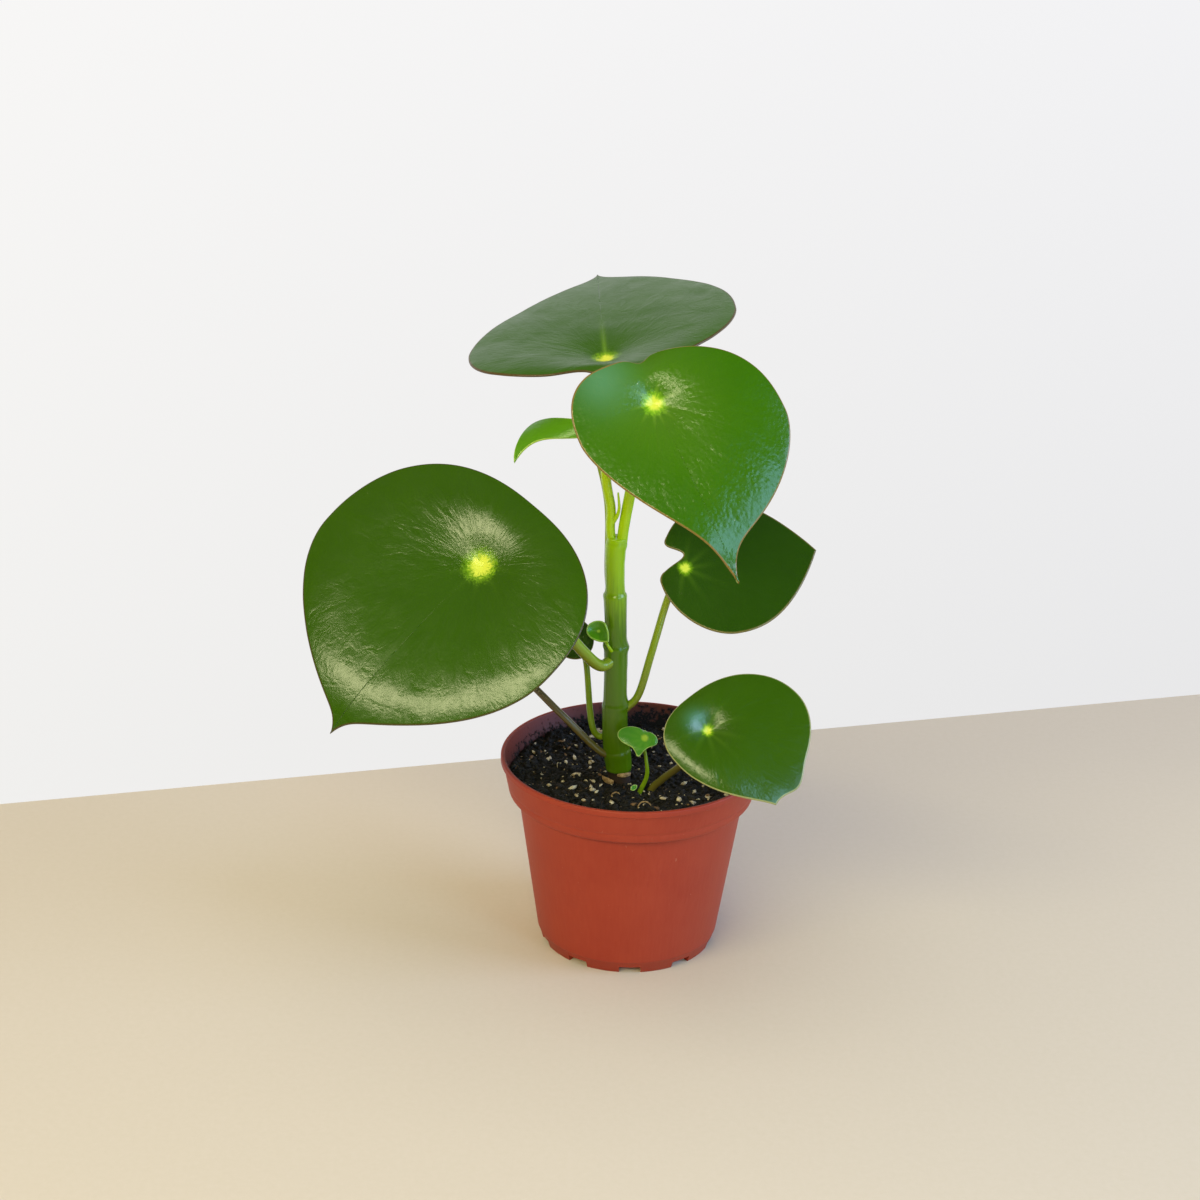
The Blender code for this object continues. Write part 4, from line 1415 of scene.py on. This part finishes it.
    def drain_cutter(self) -> bpy.types.Object:
        """One round drill for each drain hole."""
        hole = on_circle(self.drain_radius, full_turn(32))
        places = on_circle(self.drain_circle, full_turn(self.drain_holes))
        deep = self.floor_top
        return self.cutter("drains", [hole + place for place in places], -deep, 2 * deep)

    def dust_and_shade(self, points: np.ndarray) -> np.ndarray:
        """The share of peat dust and painted shade: inside the pot, most just above the soil and at the
        right.

        Args:
            points: points in millimetres.

        Returns:
            Shares, which the finish adds to its noise.
        """
        section = self.inner()[::-1]
        wall = np.interp(points[:, 2], section[:, 1], section[:, 0])
        inside = np.hypot(points[:, 0], points[:, 1]) < wall + 0.5 * self.wall
        above = np.clip((points[:, 2] - self.dust_and_shade_height) / self.dust_and_shade_fade, 0, 1)
        right = np.clip((points[:, 0] + 0.3 * points[:, 1]) / self.rim_radius, -1, 1)
        return (0.66 - 0.3 * above + 0.1 * right) * inside * (points[:, 2] > self.floor_top - 1)


@dataclass(frozen=True)
class Crumbs:
    """A kind of crumb that lies on the soil, its sizes in millimetres.

    Size is the smallest and the largest half-width, and stretch is how many times longer than
    wide a crumb may be. The seed picks their places and shapes.
    """

    name: str
    finish: Grains
    count: int
    size: tuple[float, float]
    stretch: float
    seed: int


@dataclass(frozen=True)
class PottingMix:
    """Black peat compost with fibres, bark and pale grit, filling the pot to under the lip.

    Each of the clods is a height, a cell and a seed. Crumbs lie within reach of the pot's
    middle and keep clear of the stem.
    """

    top: float = 82.0
    underside: float = 5.3
    wall_gap: float = 0.3
    around: int = 260
    rings: int = 90
    stem_spot: tuple[float, float] = (-5.5, -9.3)
    mound: float = 1.6
    mound_width: float = 13.0
    clods: tuple[tuple[float, float, int], ...] = (
        (0.9, 17.0, 11), (1.0, 5.2, 12), (0.75, 2.4, 13), (0.45, 1.15, 14)
    )
    crumb_reach: float = 54.5
    stem_clear: float = 6.0

    def surface(self, flat: np.ndarray) -> np.ndarray:
        """Height of the soil: clods of four sizes and a bell-shaped mound at the stem.

        Args:
            flat: flat points in millimetres.

        Returns:
            Heights in millimetres.
        """
        mound = self.mound * bell(polar(flat - self.stem_spot)[0], self.mound_width)
        clods = sum(deep * value_noise(flat, cell, seed) for deep, cell, seed in self.clods)
        return self.top + mound + clods

    def build(self, pot: Pot) -> bpy.types.Object:
        """Builds a closed solid: lumpy top, side inside the pot's wall and flat bottom.

        Args:
            pot: the pot that it fills.

        Returns:
            The piece.
        """
        inner = pot.inner(self.wall_gap)
        side = inner[inner[:, 1] < self.top].copy()
        side[-1, 1] = self.underside
        edge = np.interp(self.top, inner[::-1, 1], inner[::-1, 0]) - self.wall_gap
        radii = edge * np.sqrt(np.linspace(0, 1, self.rings + 1)[1:])
        top = turned_rings(np.stack([radii, np.zeros_like(radii)], axis=1), self.around)
        top[..., 2] = self.surface(top[..., :2])
        rings = np.concatenate([top, turned_rings(side, self.around)])
        points, faces = capped_tube(rings * MM)
        finish = Grains("black_peat", "#030202", "#100B08", patch=2.2, relief=0.9)
        return make_piece("potting_mix", points, faces, finish.material(), ("soil",))

    def scatter(self, kind: Crumbs) -> bpy.types.Object:
        """Strews crumbs over the surface, each a twenty-faced lump pulled out of shape.

        Its length, width and height are 1 to stretch, 0.7 to 1.1 and 0.5 to 0.8 times its size.
        It leans by some 20 degrees, and about two thirds of its height stand out of the soil.

        Args:
            kind: the kind of crumb.

        Returns:
            The piece.
        """
        rng = np.random.default_rng(kind.seed)
        golden = (1 + math.sqrt(5)) / 2
        signs = [(s, t) for s in (1, -1) for t in (1, -1)]
        corners = np.array(
            [(0, s, t * golden) for s, t in signs]
            + [(s, t * golden, 0) for s, t in signs]
            + [(t * golden, 0, s) for s, t in signs]
        ) / math.hypot(1, golden)
        radius = self.crumb_reach * np.sqrt(rng.uniform(0, 1, kind.count))
        flat = on_circle(radius, rng.uniform(0, math.tau, kind.count))
        flat = flat[polar(flat - self.stem_spot)[0] > self.stem_clear]
        count = len(flat)
        small, large = kind.size
        half = small * (large / small) ** (rng.uniform(0, 1, count) ** 1.7)
        wide = [rng.uniform(low, high, count) for low, high in ((1, kind.stretch), (0.7, 1.1), (0.5, 0.8))]
        scales = half[:, None] * np.stack(wide, axis=1)
        turns, tilt = rng.uniform(0, math.tau, count), rng.normal(0, 0.35, count)
        cos, sin = np.cos(turns)[:, None], np.sin(turns)[:, None]
        x, y, z = np.moveaxis(corners * rng.uniform(0.72, 1.15, (count, 12, 1)) * scales[:, None], 2, 0)
        lumps = np.stack([x * cos - y * sin, x * sin + y * cos, z + x * np.sin(tilt)[:, None]], axis=-1)
        seat = np.column_stack([flat, self.surface(flat) + 0.35 * scales[:, 2]])
        points = (lumps + seat[:, None]).reshape(-1, 3) * MM
        faces = self.hull_faces(corners)[None] + (np.arange(count) * 12)[:, None, None]
        faces = faces.reshape(-1, 3).tolist()
        return make_piece(kind.name, points, faces, kind.finish.material())

    @staticmethod
    def hull_faces(corners: np.ndarray) -> np.ndarray:
        """Finds an icosahedron's triangles: corners that are all one edge apart.

        Args:
            corners: its twelve corners.

        Returns:
            Twenty rows of corner numbers, outside to the left going round.
        """
        triples = np.array(list(combinations(range(len(corners)), 3)))
        a, b, c = (corners[triples[:, i]] for i in range(3))
        edges = np.linalg.norm([a - b, b - c, c - a], axis=2)
        near = edges.max(axis=0) < edges.min() * 1.01
        outward = np.sum(np.cross(b - a, c - a) * a, axis=1) > 0
        return np.where(outward[:, None], triples, triples[:, [0, 2, 1]])[near]


class Lamp(Enum):
    """The soft lamps: azimuth from the camera's side to the right and rise, in degrees."""

    KEY = (-25.0, 32.0)
    WINDOW = (42.0, 14.0)
    SIDE = (80.0, 20.0)
    FILL = (-90.0, 74.0)


@dataclass(frozen=True)
class Studio:
    """Camera, pale floor, white surroundings with painted shade to the eye, and soft lamps.

    Sizes are millimetres and angles degrees. The lamps face the plant at the height of their
    aim, and the floor's far edge crosses the plant's middle line at floor_edge behind it.
    """

    distance: float = 1079.3
    height: float = 600.0
    pitch: float = 21.86
    yaw: float = -0.87
    roll: float = 1.47
    lens: float = 78.0
    sensor: float = 36.0
    floor_edge: float = 204.0
    floor_turn: float = 16.3
    floor_reach: float = 2400.0
    lamp_aim: float = 150.0

    def camera(self) -> None:
        """The camera, placed and turned as the photograph's was."""
        pitch, yaw, roll = (math.radians(angle) for angle in (self.pitch, self.yaw, self.roll))
        level = math.cos(pitch)
        forward = Vector((math.sin(yaw) * level, math.cos(yaw) * level, -math.sin(pitch)))
        right = Vector((math.cos(yaw), -math.sin(yaw), 0.0))
        up = right.cross(forward)
        turned_right = right * math.cos(roll) + up * math.sin(roll)
        turned_up = up * math.cos(roll) - right * math.sin(roll)
        pose = Matrix((turned_right, turned_up, -forward)).transposed().to_4x4()
        pose.translation = Vector((0.0, -self.distance, self.height)) * MM
        data = bpy.data.cameras.new("camera")
        data.lens = self.lens
        data.sensor_width = self.sensor
        camera = new_object("camera", data)
        camera.matrix_world = pose
        bpy.context.scene.camera = camera

    def floor(self) -> None:
        """A pale card floor whose far edge runs where the photograph's floor ends."""
        turn, reach = math.radians(self.floor_turn), self.floor_reach
        across = np.array([math.cos(turn), math.sin(turn)])
        back = np.array([-across[1], across[0]])
        edge = np.array([0.0, self.floor_edge])
        ends = [edge - across * reach, edge + across * reach]
        corners = np.array([*ends, ends[1] - back * 2 * reach, ends[0] - back * 2 * reach]) * MM
        mesh = new_mesh("floor", np.column_stack([corners, np.zeros(4)]), [(0, 3, 2, 1)])
        # Card of pressed fibre: matt, with a cloudy grain 3 mm across.
        material, tree = new_material("pale_card")
        place = add_node(tree, "TexCoord")
        fibre = add_node(
            tree, "TexNoise", {"Scale": 1 / (3 * MM), "Detail": 6.0, "Roughness": 0.7}, {"Vector": place}
        )
        card = add_node(
            tree, "Mix", {"data_type": "RGBA", 6: linear("#D3C5B1"), 7: linear("#DBCDBD")}, {0: fibre}
        )
        shader = add_node(tree, "BsdfPrincipled", {"Roughness": 0.85, "IOR": 1.35}, {"Base Color": card})
        add_node(tree, "OutputMaterial", links={0: shader})
        mesh.materials.append(material)
        floor = new_object("floor", mesh)

    def surroundings(self) -> None:
        """A white wall behind and a dim room elsewhere for light, and to the eye white with painted shade,
        darker to the right and lower down.
        """
        world = bpy.data.worlds.new("studio")
        world.use_nodes = True
        tree = world.node_tree
        tree.nodes.clear()
        way = add_node(tree, "TexCoord")
        parts = add_node(tree, "SeparateXYZ", links={0: way.outputs["Generated"]})
        behind, low, aside, above = (
            add_node(
                tree,
                "MapRange",
                {"interpolation_type": blend, "From Min": start, "From Max": end},
                {"Value": parts.outputs[axis]},
            )
            for axis, start, end, blend in (
                ("Y", -0.15, 0.35, "SMOOTHSTEP"),
                ("Z", 0.6, 0.3, "SMOOTHSTEP"),
                ("X", -0.25, 0.25, "LINEAR"),
                ("Z", -0.42, -0.14, "LINEAR"),
            )
        )
        wall = add_node(tree, "Math", {"operation": "MULTIPLY"}, {0: behind, 1: low})
        room, left, right = (
            add_node(tree, "Mix", {"data_type": "RGBA", 6: linear(dark), 7: linear(pale)}, {0: share})
            for dark, pale, share in (
                ("#3C3B3A", "#FAFBFF", wall),
                ("#F1F0EE", "#F8F7F6", above),
                ("#E6E6E7", "#F2F2F4", above),
            )
        )
        # To the eye: white with painted shade, darker to the right and lower down.
        plain = add_node(tree, "Mix", {"data_type": "RGBA"}, {0: aside, 6: left, 7: right})
        rays = add_node(tree, "LightPath")
        seen = add_node(
            tree, "Mix", {"data_type": "RGBA"}, {0: rays.outputs["Is Camera Ray"], 6: room, 7: plain}
        )
        light = add_node(tree, "Background", {"Strength": 1.0}, {"Color": seen})
        add_node(tree, "OutputWorld", links={0: light})
        bpy.context.scene.world = world

    def lamp(self, lamp: Lamp, away: float, size: tuple[float, float], watts: float, colour: str) -> None:
        """Hangs a soft rectangular lamp that faces the plant.

        Args:
            lamp: which one, with its azimuth and rise.
            away: its distance from the plant, in metres.
            size: its width and height, in metres.
            watts: its power.
            colour: its colour.
        """
        azimuth, rise = (math.radians(angle) for angle in lamp.value)
        level = math.cos(rise)
        way = Vector((math.sin(azimuth) * level, -math.cos(azimuth) * level, math.sin(rise)))
        data = bpy.data.lights.new(lamp.name.lower(), "AREA")
        data.shape = "RECTANGLE"
        data.size, data.size_y = size
        data.energy = watts
        data.color = linear(colour)[:3]
        holder = new_object(lamp.name.lower(), data)
        holder.location = Vector((0.0, 0.0, self.lamp_aim * MM)) + way * away
        holder.rotation_euler = way.to_track_quat("Z", "Y").to_euler()
        holder.visible_glossy = lamp is not Lamp.FILL

    def build(self) -> None:
        """Everything round the plant."""
        bpy.context.scene.view_settings.view_transform = "Standard"
        self.camera()
        self.floor()
        self.surroundings()
        self.lamp(Lamp.KEY, 1.9, (2.0, 0.34), 27.0, "#FFFAC4")
        self.lamp(Lamp.WINDOW, 1.7, (0.5, 1.0), 9.0, "#A0D9FF")
        self.lamp(Lamp.SIDE, 2.0, (1.1, 1.0), 30.0, "#B4D0FF")
        self.lamp(Lamp.FILL, 2.4, (3.0, 3.0), 40.0, "#FFF6F0")


WAXY = LeafSkin("leaf_waxy")
BRIGHT = LeafSkin(
    "leaf_bright", "#326202", "#3C6C02", vein="#9CC23C", halo="#8EC41C", margin="#8E6A30",
    wrinkle=0.09, blister=0.1,
)
TOP = LeafSkin("leaf_top", "#345A0C", "#3E6612", margin="#5A3C24", roughness=0.32)
# Painted shade: a darker copy of the leaf colour for the leaves that lie under and behind the others.
SHADED = LeafSkin("leaf_shaded", "#244204", "#2C4E04", margin="#7C6C38")
LOWER = LeafSkin("leaf_lower", "#305202", "#3A5C04", margin="#A8A468")
FRESH = LeafSkin(
    "leaf_fresh", "#4E8A0C", "#64A016", vein="#A8CC3C", halo="#A8CC3C", core="#B4D03C", margin="#A8C850"
)
SPROUTING = LeafSkin(
    "leaf_sprouting", "#3E8A2A", "#589C2A", vein="#9CC850", halo="#A8CC3C", core="#A8CC3C", margin="#B4D070"
)

VEINLESS = {"keel": 0.0, "vein_depth": 0.0, "vein_glow": 0.0}
BLADES = (
    Blade(
        "leaf_left_large", "blade_left_large", WAXY,
        spot=(-67, -42, 197.5), rise=38, turn=-14, tip_turn=-32,
        tip=(96, 0), base=(-35, -3),
        left=Half(28, -68, front=1.9, point=1.15, rear=2.2), right=Half(15, 58, front=2.1, rear=2.5),
        drip=6, drip_width=2.5, funnel=8.4, funnel_width=23, dish=4, roll=8, spot_size=9.0, keel=0.12,
        seed=1,
    ),
    Blade(
        "leaf_heart", "blade_heart", BRIGHT,
        spot=(4.5, -42, 272.5), rise=30, turn=6, tip_turn=23,
        tip=(83, 2), base=(-22, -13),
        left=Half(5, -36, front=1.5, rear=2.5), right=Half(24, 51, front=1.6, point=1.7, rear=2.5),
        slot="young_leaf", drip=16, pulls=(Pull(place=(-21, 2), shift=(3, 0), width=4),), funnel=6,
        funnel_width=12, roll=6, roll_left=0.08, curl=1.5, glow_and_highlight=0.1, spot_size=6.0, vein_glow=0.34,
        veins=(0, 28, -24, 55, -58, 95, -100, 150, -150), painted_sheen=((-17, -17, 12),), seed=4,
    ),
    Blade(
        "leaf_top", "blade_top", TOP,
        spot=(-16.5, 4, 277), rise=80, turn=-66.5, tip_turn=-110.5,
        tip=(107, 0), base=(-23, -12),
        left=Half(32, -60, front=2.7, rear=1.7), right=Half(18, 60, front=1.65, rear=2.5),
        drip=6, drip_width=3, pulls=(Pull(place=(-23, 8), shift=(5, 0), width=12),), funnel=6,
        funnel_width=14, dish=2, roll=3, spot_size=7.0, vein_glow=0.5, vein_reach=26, veins=(0,),
        seed=7,
    ),
    Blade(
        "leaf_young", "blade_young", FRESH,
        spot=(-24, -12, 252), rise=22, turn=-12, tip_turn=-58,
        tip=(35.5, 0), base=(-3.5, 0),
        left=Half(14, -6, front=3.5, point=1.8, rear=1.7), right=Half(6, 5.5, front=2.6),
        slot="young_leaf", hook=8.5, centre=(26, -7.5), trough=2, thickness=1.0, spot_size=1.5,
        swell=0.1, wrinkle=0.03, around=200, rings=24, seed=10, **VEINLESS,
    ),
    Blade(
        "leaf_right", "blade_right", SHADED,
        spot=(21, -4, 185), rise=45, turn=8, tip_turn=97,
        tip=(61, 1), base=(-12, -4),
        left=Half(17, -33.5, front=2.3, rear=1.8), right=Half(20, 32, front=1.7, rear=1.9),
        slot="shaded_leaf", pulls=(Pull(place=(-10.5, 6.5), shift=(11, 0), width=5),), centre=(8, -2),
        roll=1, hub=(10, 4), spot_size=4.0, around=300, rings=48, seed=13,
    ),
    Blade(
        "leaf_lower_right", "blade_lower_right", LOWER,
        spot=(32.5, -46, 125), rise=44, turn=12, tip_turn=35,
        tip=(44, 1), base=(-17, 3),
        left=Half(2, -21.5, front=2.1, rear=2.5), right=Half(13, 44, front=1.9, point=2.0, rear=2.1),
        drip=2, pulls=(Pull(place=(41, 15), shift=(4, 0), width=8),), funnel=4, funnel_width=9,
        roll=2.6, brim=2.6, brim_reach=12, spot_size=3.6, painted_sheen=((-6, -2, 5),), around=300, rings=48,
        seed=16,
    ),
    Blade(
        "leaf_behind_small", "blade_behind_small", SHADED,
        spot=(-24, -3, 145.5), rise=42, turn=-8, tip_turn=-123,
        tip=(16, -1), base=(-5, 0.5),
        left=Half(7, -10, point=2.0), right=Half(5, 9, point=2.0),
        slot="shaded_leaf", funnel=1, funnel_width=3, roll=1, thickness=1.0, spot_size=1.5, keel=0.2,
        swell=0.15, wrinkle=0.03, around=160, rings=24, seed=19,
    ),
    Blade(
        "leaf_behind_old", "blade_behind_old", SHADED,
        spot=(-74.5, -2, 149), rise=50, turn=-20, tip_turn=-71,
        tip=(41, 0), base=(-15, 0),
        left=Half(8, -27, front=2.4), right=Half(8, 27, front=2.4),
        slot="shaded_leaf", funnel=3, funnel_width=8, roll=4, spot_size=4.0, around=240, rings=40,
        seed=22,
    ),
    Blade(
        "leaf_cup", "blade_cup", FRESH,
        spot=(-16.5, -16, 158.5), rise=32, turn=-15, tip_turn=46,
        tip=(7.5, 1), base=(-4.5, -1),
        left=Half(-1, -4.5), right=Half(0, 4.5, front=1.4),
        slot="young_leaf", dish=2.5, thickness=0.8, spot_size=1.0, swell=0.05, wrinkle=0.02, around=120,
        rings=20, seed=25, **VEINLESS,
    ),
    Blade(
        "leaf_sprout", "blade_sprout", SPROUTING,
        spot=(5.5, -19, 108.5), rise=40, turn=10, tip_turn=-103,
        tip=(12.5, 0), base=(-6.5, 0.5),
        left=Half(5, -4.5, point=2.0), right=Half(5, 5, point=2.0),
        slot="young_leaf", pulls=(Pull(place=(1.5, 5), shift=(0, 4), width=2.5),), funnel=1,
        funnel_width=3, roll=1, thickness=0.8, spot_size=2.0, keel=0.3, swell=0.1, wrinkle=0.02,
        around=160, rings=24, seed=28,
    ),
    Blade(
        "soil_leaflet", "", SPROUTING,
        spot=(1.8, -22, 85.5), rise=35, turn=15, tip_turn=-60,
        tip=(2.4, 0), base=(-1.2, 0),
        left=Half(1, -1.1), right=Half(1, 1.1),
        slot="young_leaf", dish=0.4, thickness=0.5, spot_size=0.2, swell=0.0, wrinkle=0.0, around=60,
        rings=10, seed=31, **VEINLESS,
    ),
)

STEM_SKIN = StalkSkin("stem_skin", "#507402", "#8CB002", from_height=152, to_height=190)
FORK_SKIN = StalkSkin("fork_skin", "#9ABA04", "#AAC60A", from_height=190, to_height=240)
STALK_SKIN = StalkSkin("stalk_skin", "#7C9C16", "#8C9E24", from_height=90, to_height=170)
OLD_SKIN = StalkSkin("old_stalk_skin", "#6A6428", "#624E30", from_height=84, to_height=130)

STEM = Stem(
    "jointed_stem",
    "main_stem",
    STEM_SKIN,
    ((-6, -10, 58), (-5.5, -9, 85), (-8, -9, 108), (-8.5, -9, 145), (-10, -9, 187), (-9.5, -9, 200.5)),
    start_radius=5.0,
    end_radius=4.3,
    slot="stem_flesh",
    around=72,
    lumps=0.05,
    joints=(
        Joint(97, below=6.3, above=6.1, bump_turn=20, bump=0.4),
        Joint(121, below=5.8, above=5.4, bump_turn=190, bump=0.8),
        Joint(149, below=5.4, above=5.0, bump_turn=185, bump=0.7),
        Joint(174, below=5.2, above=4.4, bump_turn=20, bump=0.3),
        Joint(198, below=4.6, above=4.3, bump_turn=180, bump=0.3),
    ),
)

STALKS = (
    Stalk(
        "stalk_left_large", "petiole_left_large", STALK_SKIN,
        ((-9.5, -10.5, 143), (-15, -15, 141.5), (-22, -21, 149.5), (-35, -28, 167), (-54, -32, 184)),
        2.7, 2.5, leaf="blade_left_large", flare=0.5, blush=0.5,
    ),
    Stalk(
        "stalk_heart", "petiole_heart", FORK_SKIN,
        ((-7.5, -9, 196), (-6.5, -9, 206), (-4.5, -9.5, 220), (0.5, -19, 254)), 2.4, 2.5,
        leaf="blade_heart", slot="stem_flesh",
    ),
    Stalk(
        "stalk_top", "petiole_top", FORK_SKIN,
        ((-11.5, -9, 196), (-12.5, -9, 205), (-12.5, -9, 214), (-15, -8.5, 228), (-16.5, -3.5, 253)),
        2.0, 2.2, leaf="blade_top", slot="stem_flesh",
    ),
    Stalk(
        "stalk_young", "petiole_young", STALK_SKIN,
        ((-11.5, -8, 169), (-13.5, -4, 182), (-14.5, -3, 214), (-21, -2, 241)), 1.3, 1.0,
        leaf="blade_young", flare=0.3,
    ),
    Stalk(
        "stalk_right", "petiole_right", STALK_SKIN,
        ((-4.5, -9, 118), (2, -9, 125), (7.5, -8, 146), (14.5, 0, 170.5)), 1.8, 1.7,
        leaf="blade_right", flare=0.7, blush=0.8,
    ),
    Stalk(
        "stalk_behind_small", "petiole_behind_small", STALK_SKIN,
        ((-9, -7.5, 104.5), (-15.5, -6, 103), (-19, -6, 111), (-21.5, -1, 134)), 1.6, 1.4,
        leaf="blade_behind_small", flare=0.7, blush=0.2,
    ),
    Stalk(
        "stalk_behind_old", "petiole_behind_old", OLD_SKIN,
        ((-8, -10, 96), (-15, -12, 98.5), (-33, -12, 116.5), (-58, -4, 138)), 1.7, 1.6,
        leaf="blade_behind_old", slot="old_stalk_flesh", flare=0.7, blush=0.4,
    ),
    Stalk(
        "stalk_cup", "petiole_cup", FORK_SKIN,
        ((-9.5, -11, 147.5), (-10.5, -14, 148.5), (-12.5, -15, 152)), 0.7, 0.7, leaf="blade_cup",
        slot="stem_flesh", flare=0.3,
    ),
    Stalk(
        "stalk_lower_right", "petiole_lower_right", OLD_SKIN,
        ((8, -14.5, 68), (9, -15, 80), (14, -18.5, 88), (26, -31, 105)), 1.8, 1.7,
        leaf="blade_lower_right", slot="old_stalk_flesh", blush=0.3,
    ),
    Stalk(
        "stalk_sprout", "sprout_stem", STALK_SKIN,
        ((2.5, -18, 68), (3.5, -18, 79), (7, -18, 89), (6.5, -17, 97)), 1.4, 0.8,
        leaf="blade_sprout",
    ),
    # The closed shoot in the fork, on the inner side of the top leaf's stalk.
    Stalk(
        "shoot_tip", "", FORK_SKIN, ((-12, -9.5, 206.5), (-9, -11, 213.5), (-9.5, -11, 222)), 1.1,
        0.4, slot="stem_flesh", around=24,
    ),
    # The plump side bud at the stem's third joint.
    Stalk(
        "side_bud", "", STEM_SKIN, ((-12.2, -10.5, 146), (-13, -10.5, 149), (-13.8, -10.5, 152)),
        0.5, 0.3, slot="stem_flesh", belly=1.0, around=24,
    ),
)

CRUMBS = (
    Crumbs("peat_crumbs", Grains("peat_crumb", "#040302", "#1C1510"), 2600, (0.45, 1.6), 2.2, seed=21),
    Crumbs("peat_fibres", Grains("peat_fibre", "#0C0907", "#54422F"), 2200, (0.16, 0.36), 9.0, seed=24),
    Crumbs("bark_chips", Grains("pine_bark", "#4A3020", "#8A6A48"), 80, (0.6, 1.7), 2.2, seed=22),
    Crumbs("pale_grit", Grains("pale_grit", "#A8906C", "#E6DAC0", patch=1.5), 400, (0.3, 1.6), 1.9, seed=23),
)
HUSK = Grains("dry_husk", "#7A5A38", "#C9A878", patch=1.6, relief=0.2)
CURLS = (
    Curl("husk_left", HUSK, (-7.5, -11, 86.5), radius=6.2, sweep=62, start=205, tilt=12, width=1.7),
    Curl("husk_front", HUSK, (-5.5, -9.5, 87.0), radius=6.0, sweep=70, start=262, tilt=-8, width=1.1),
    Curl("bark_ring", HUSK, (-6.5, -26.5, 82.8), radius=1.9, sweep=300, start=30, tilt=35, width=0.6),
    Curl("bark_shaving", HUSK, (6.5, -37.5, 82.6), radius=3.0, sweep=190, start=20, tilt=60, width=0.6),
)


def main() -> None:
    """Builds the studio, the pot, the mix and the plant, and logs each piece."""
    logging.basicConfig(level=logging.INFO, format="%(name)s: %(message)s")
    for obj in list(bpy.data.objects):
        bpy.data.objects.remove(obj, do_unlink=True)
    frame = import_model()
    log.info("the frame has %d nodes", len(frame["nodes"]))
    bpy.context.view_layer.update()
    Studio().build()
    pot = Pot()
    pot.build()
    mix = PottingMix()
    mix.build(pot)
    for kind in CRUMBS:
        mix.scatter(kind)
    for curl in CURLS:
        curl.build()
    for blade in BLADES:
        blade.build()
    STEM.build()
    by_node = {blade.node: blade for blade in BLADES}
    for stalk in STALKS:
        stalk.build(by_node.get(stalk.leaf) if stalk.leaf else None)


if __name__ == "__main__":
    main()
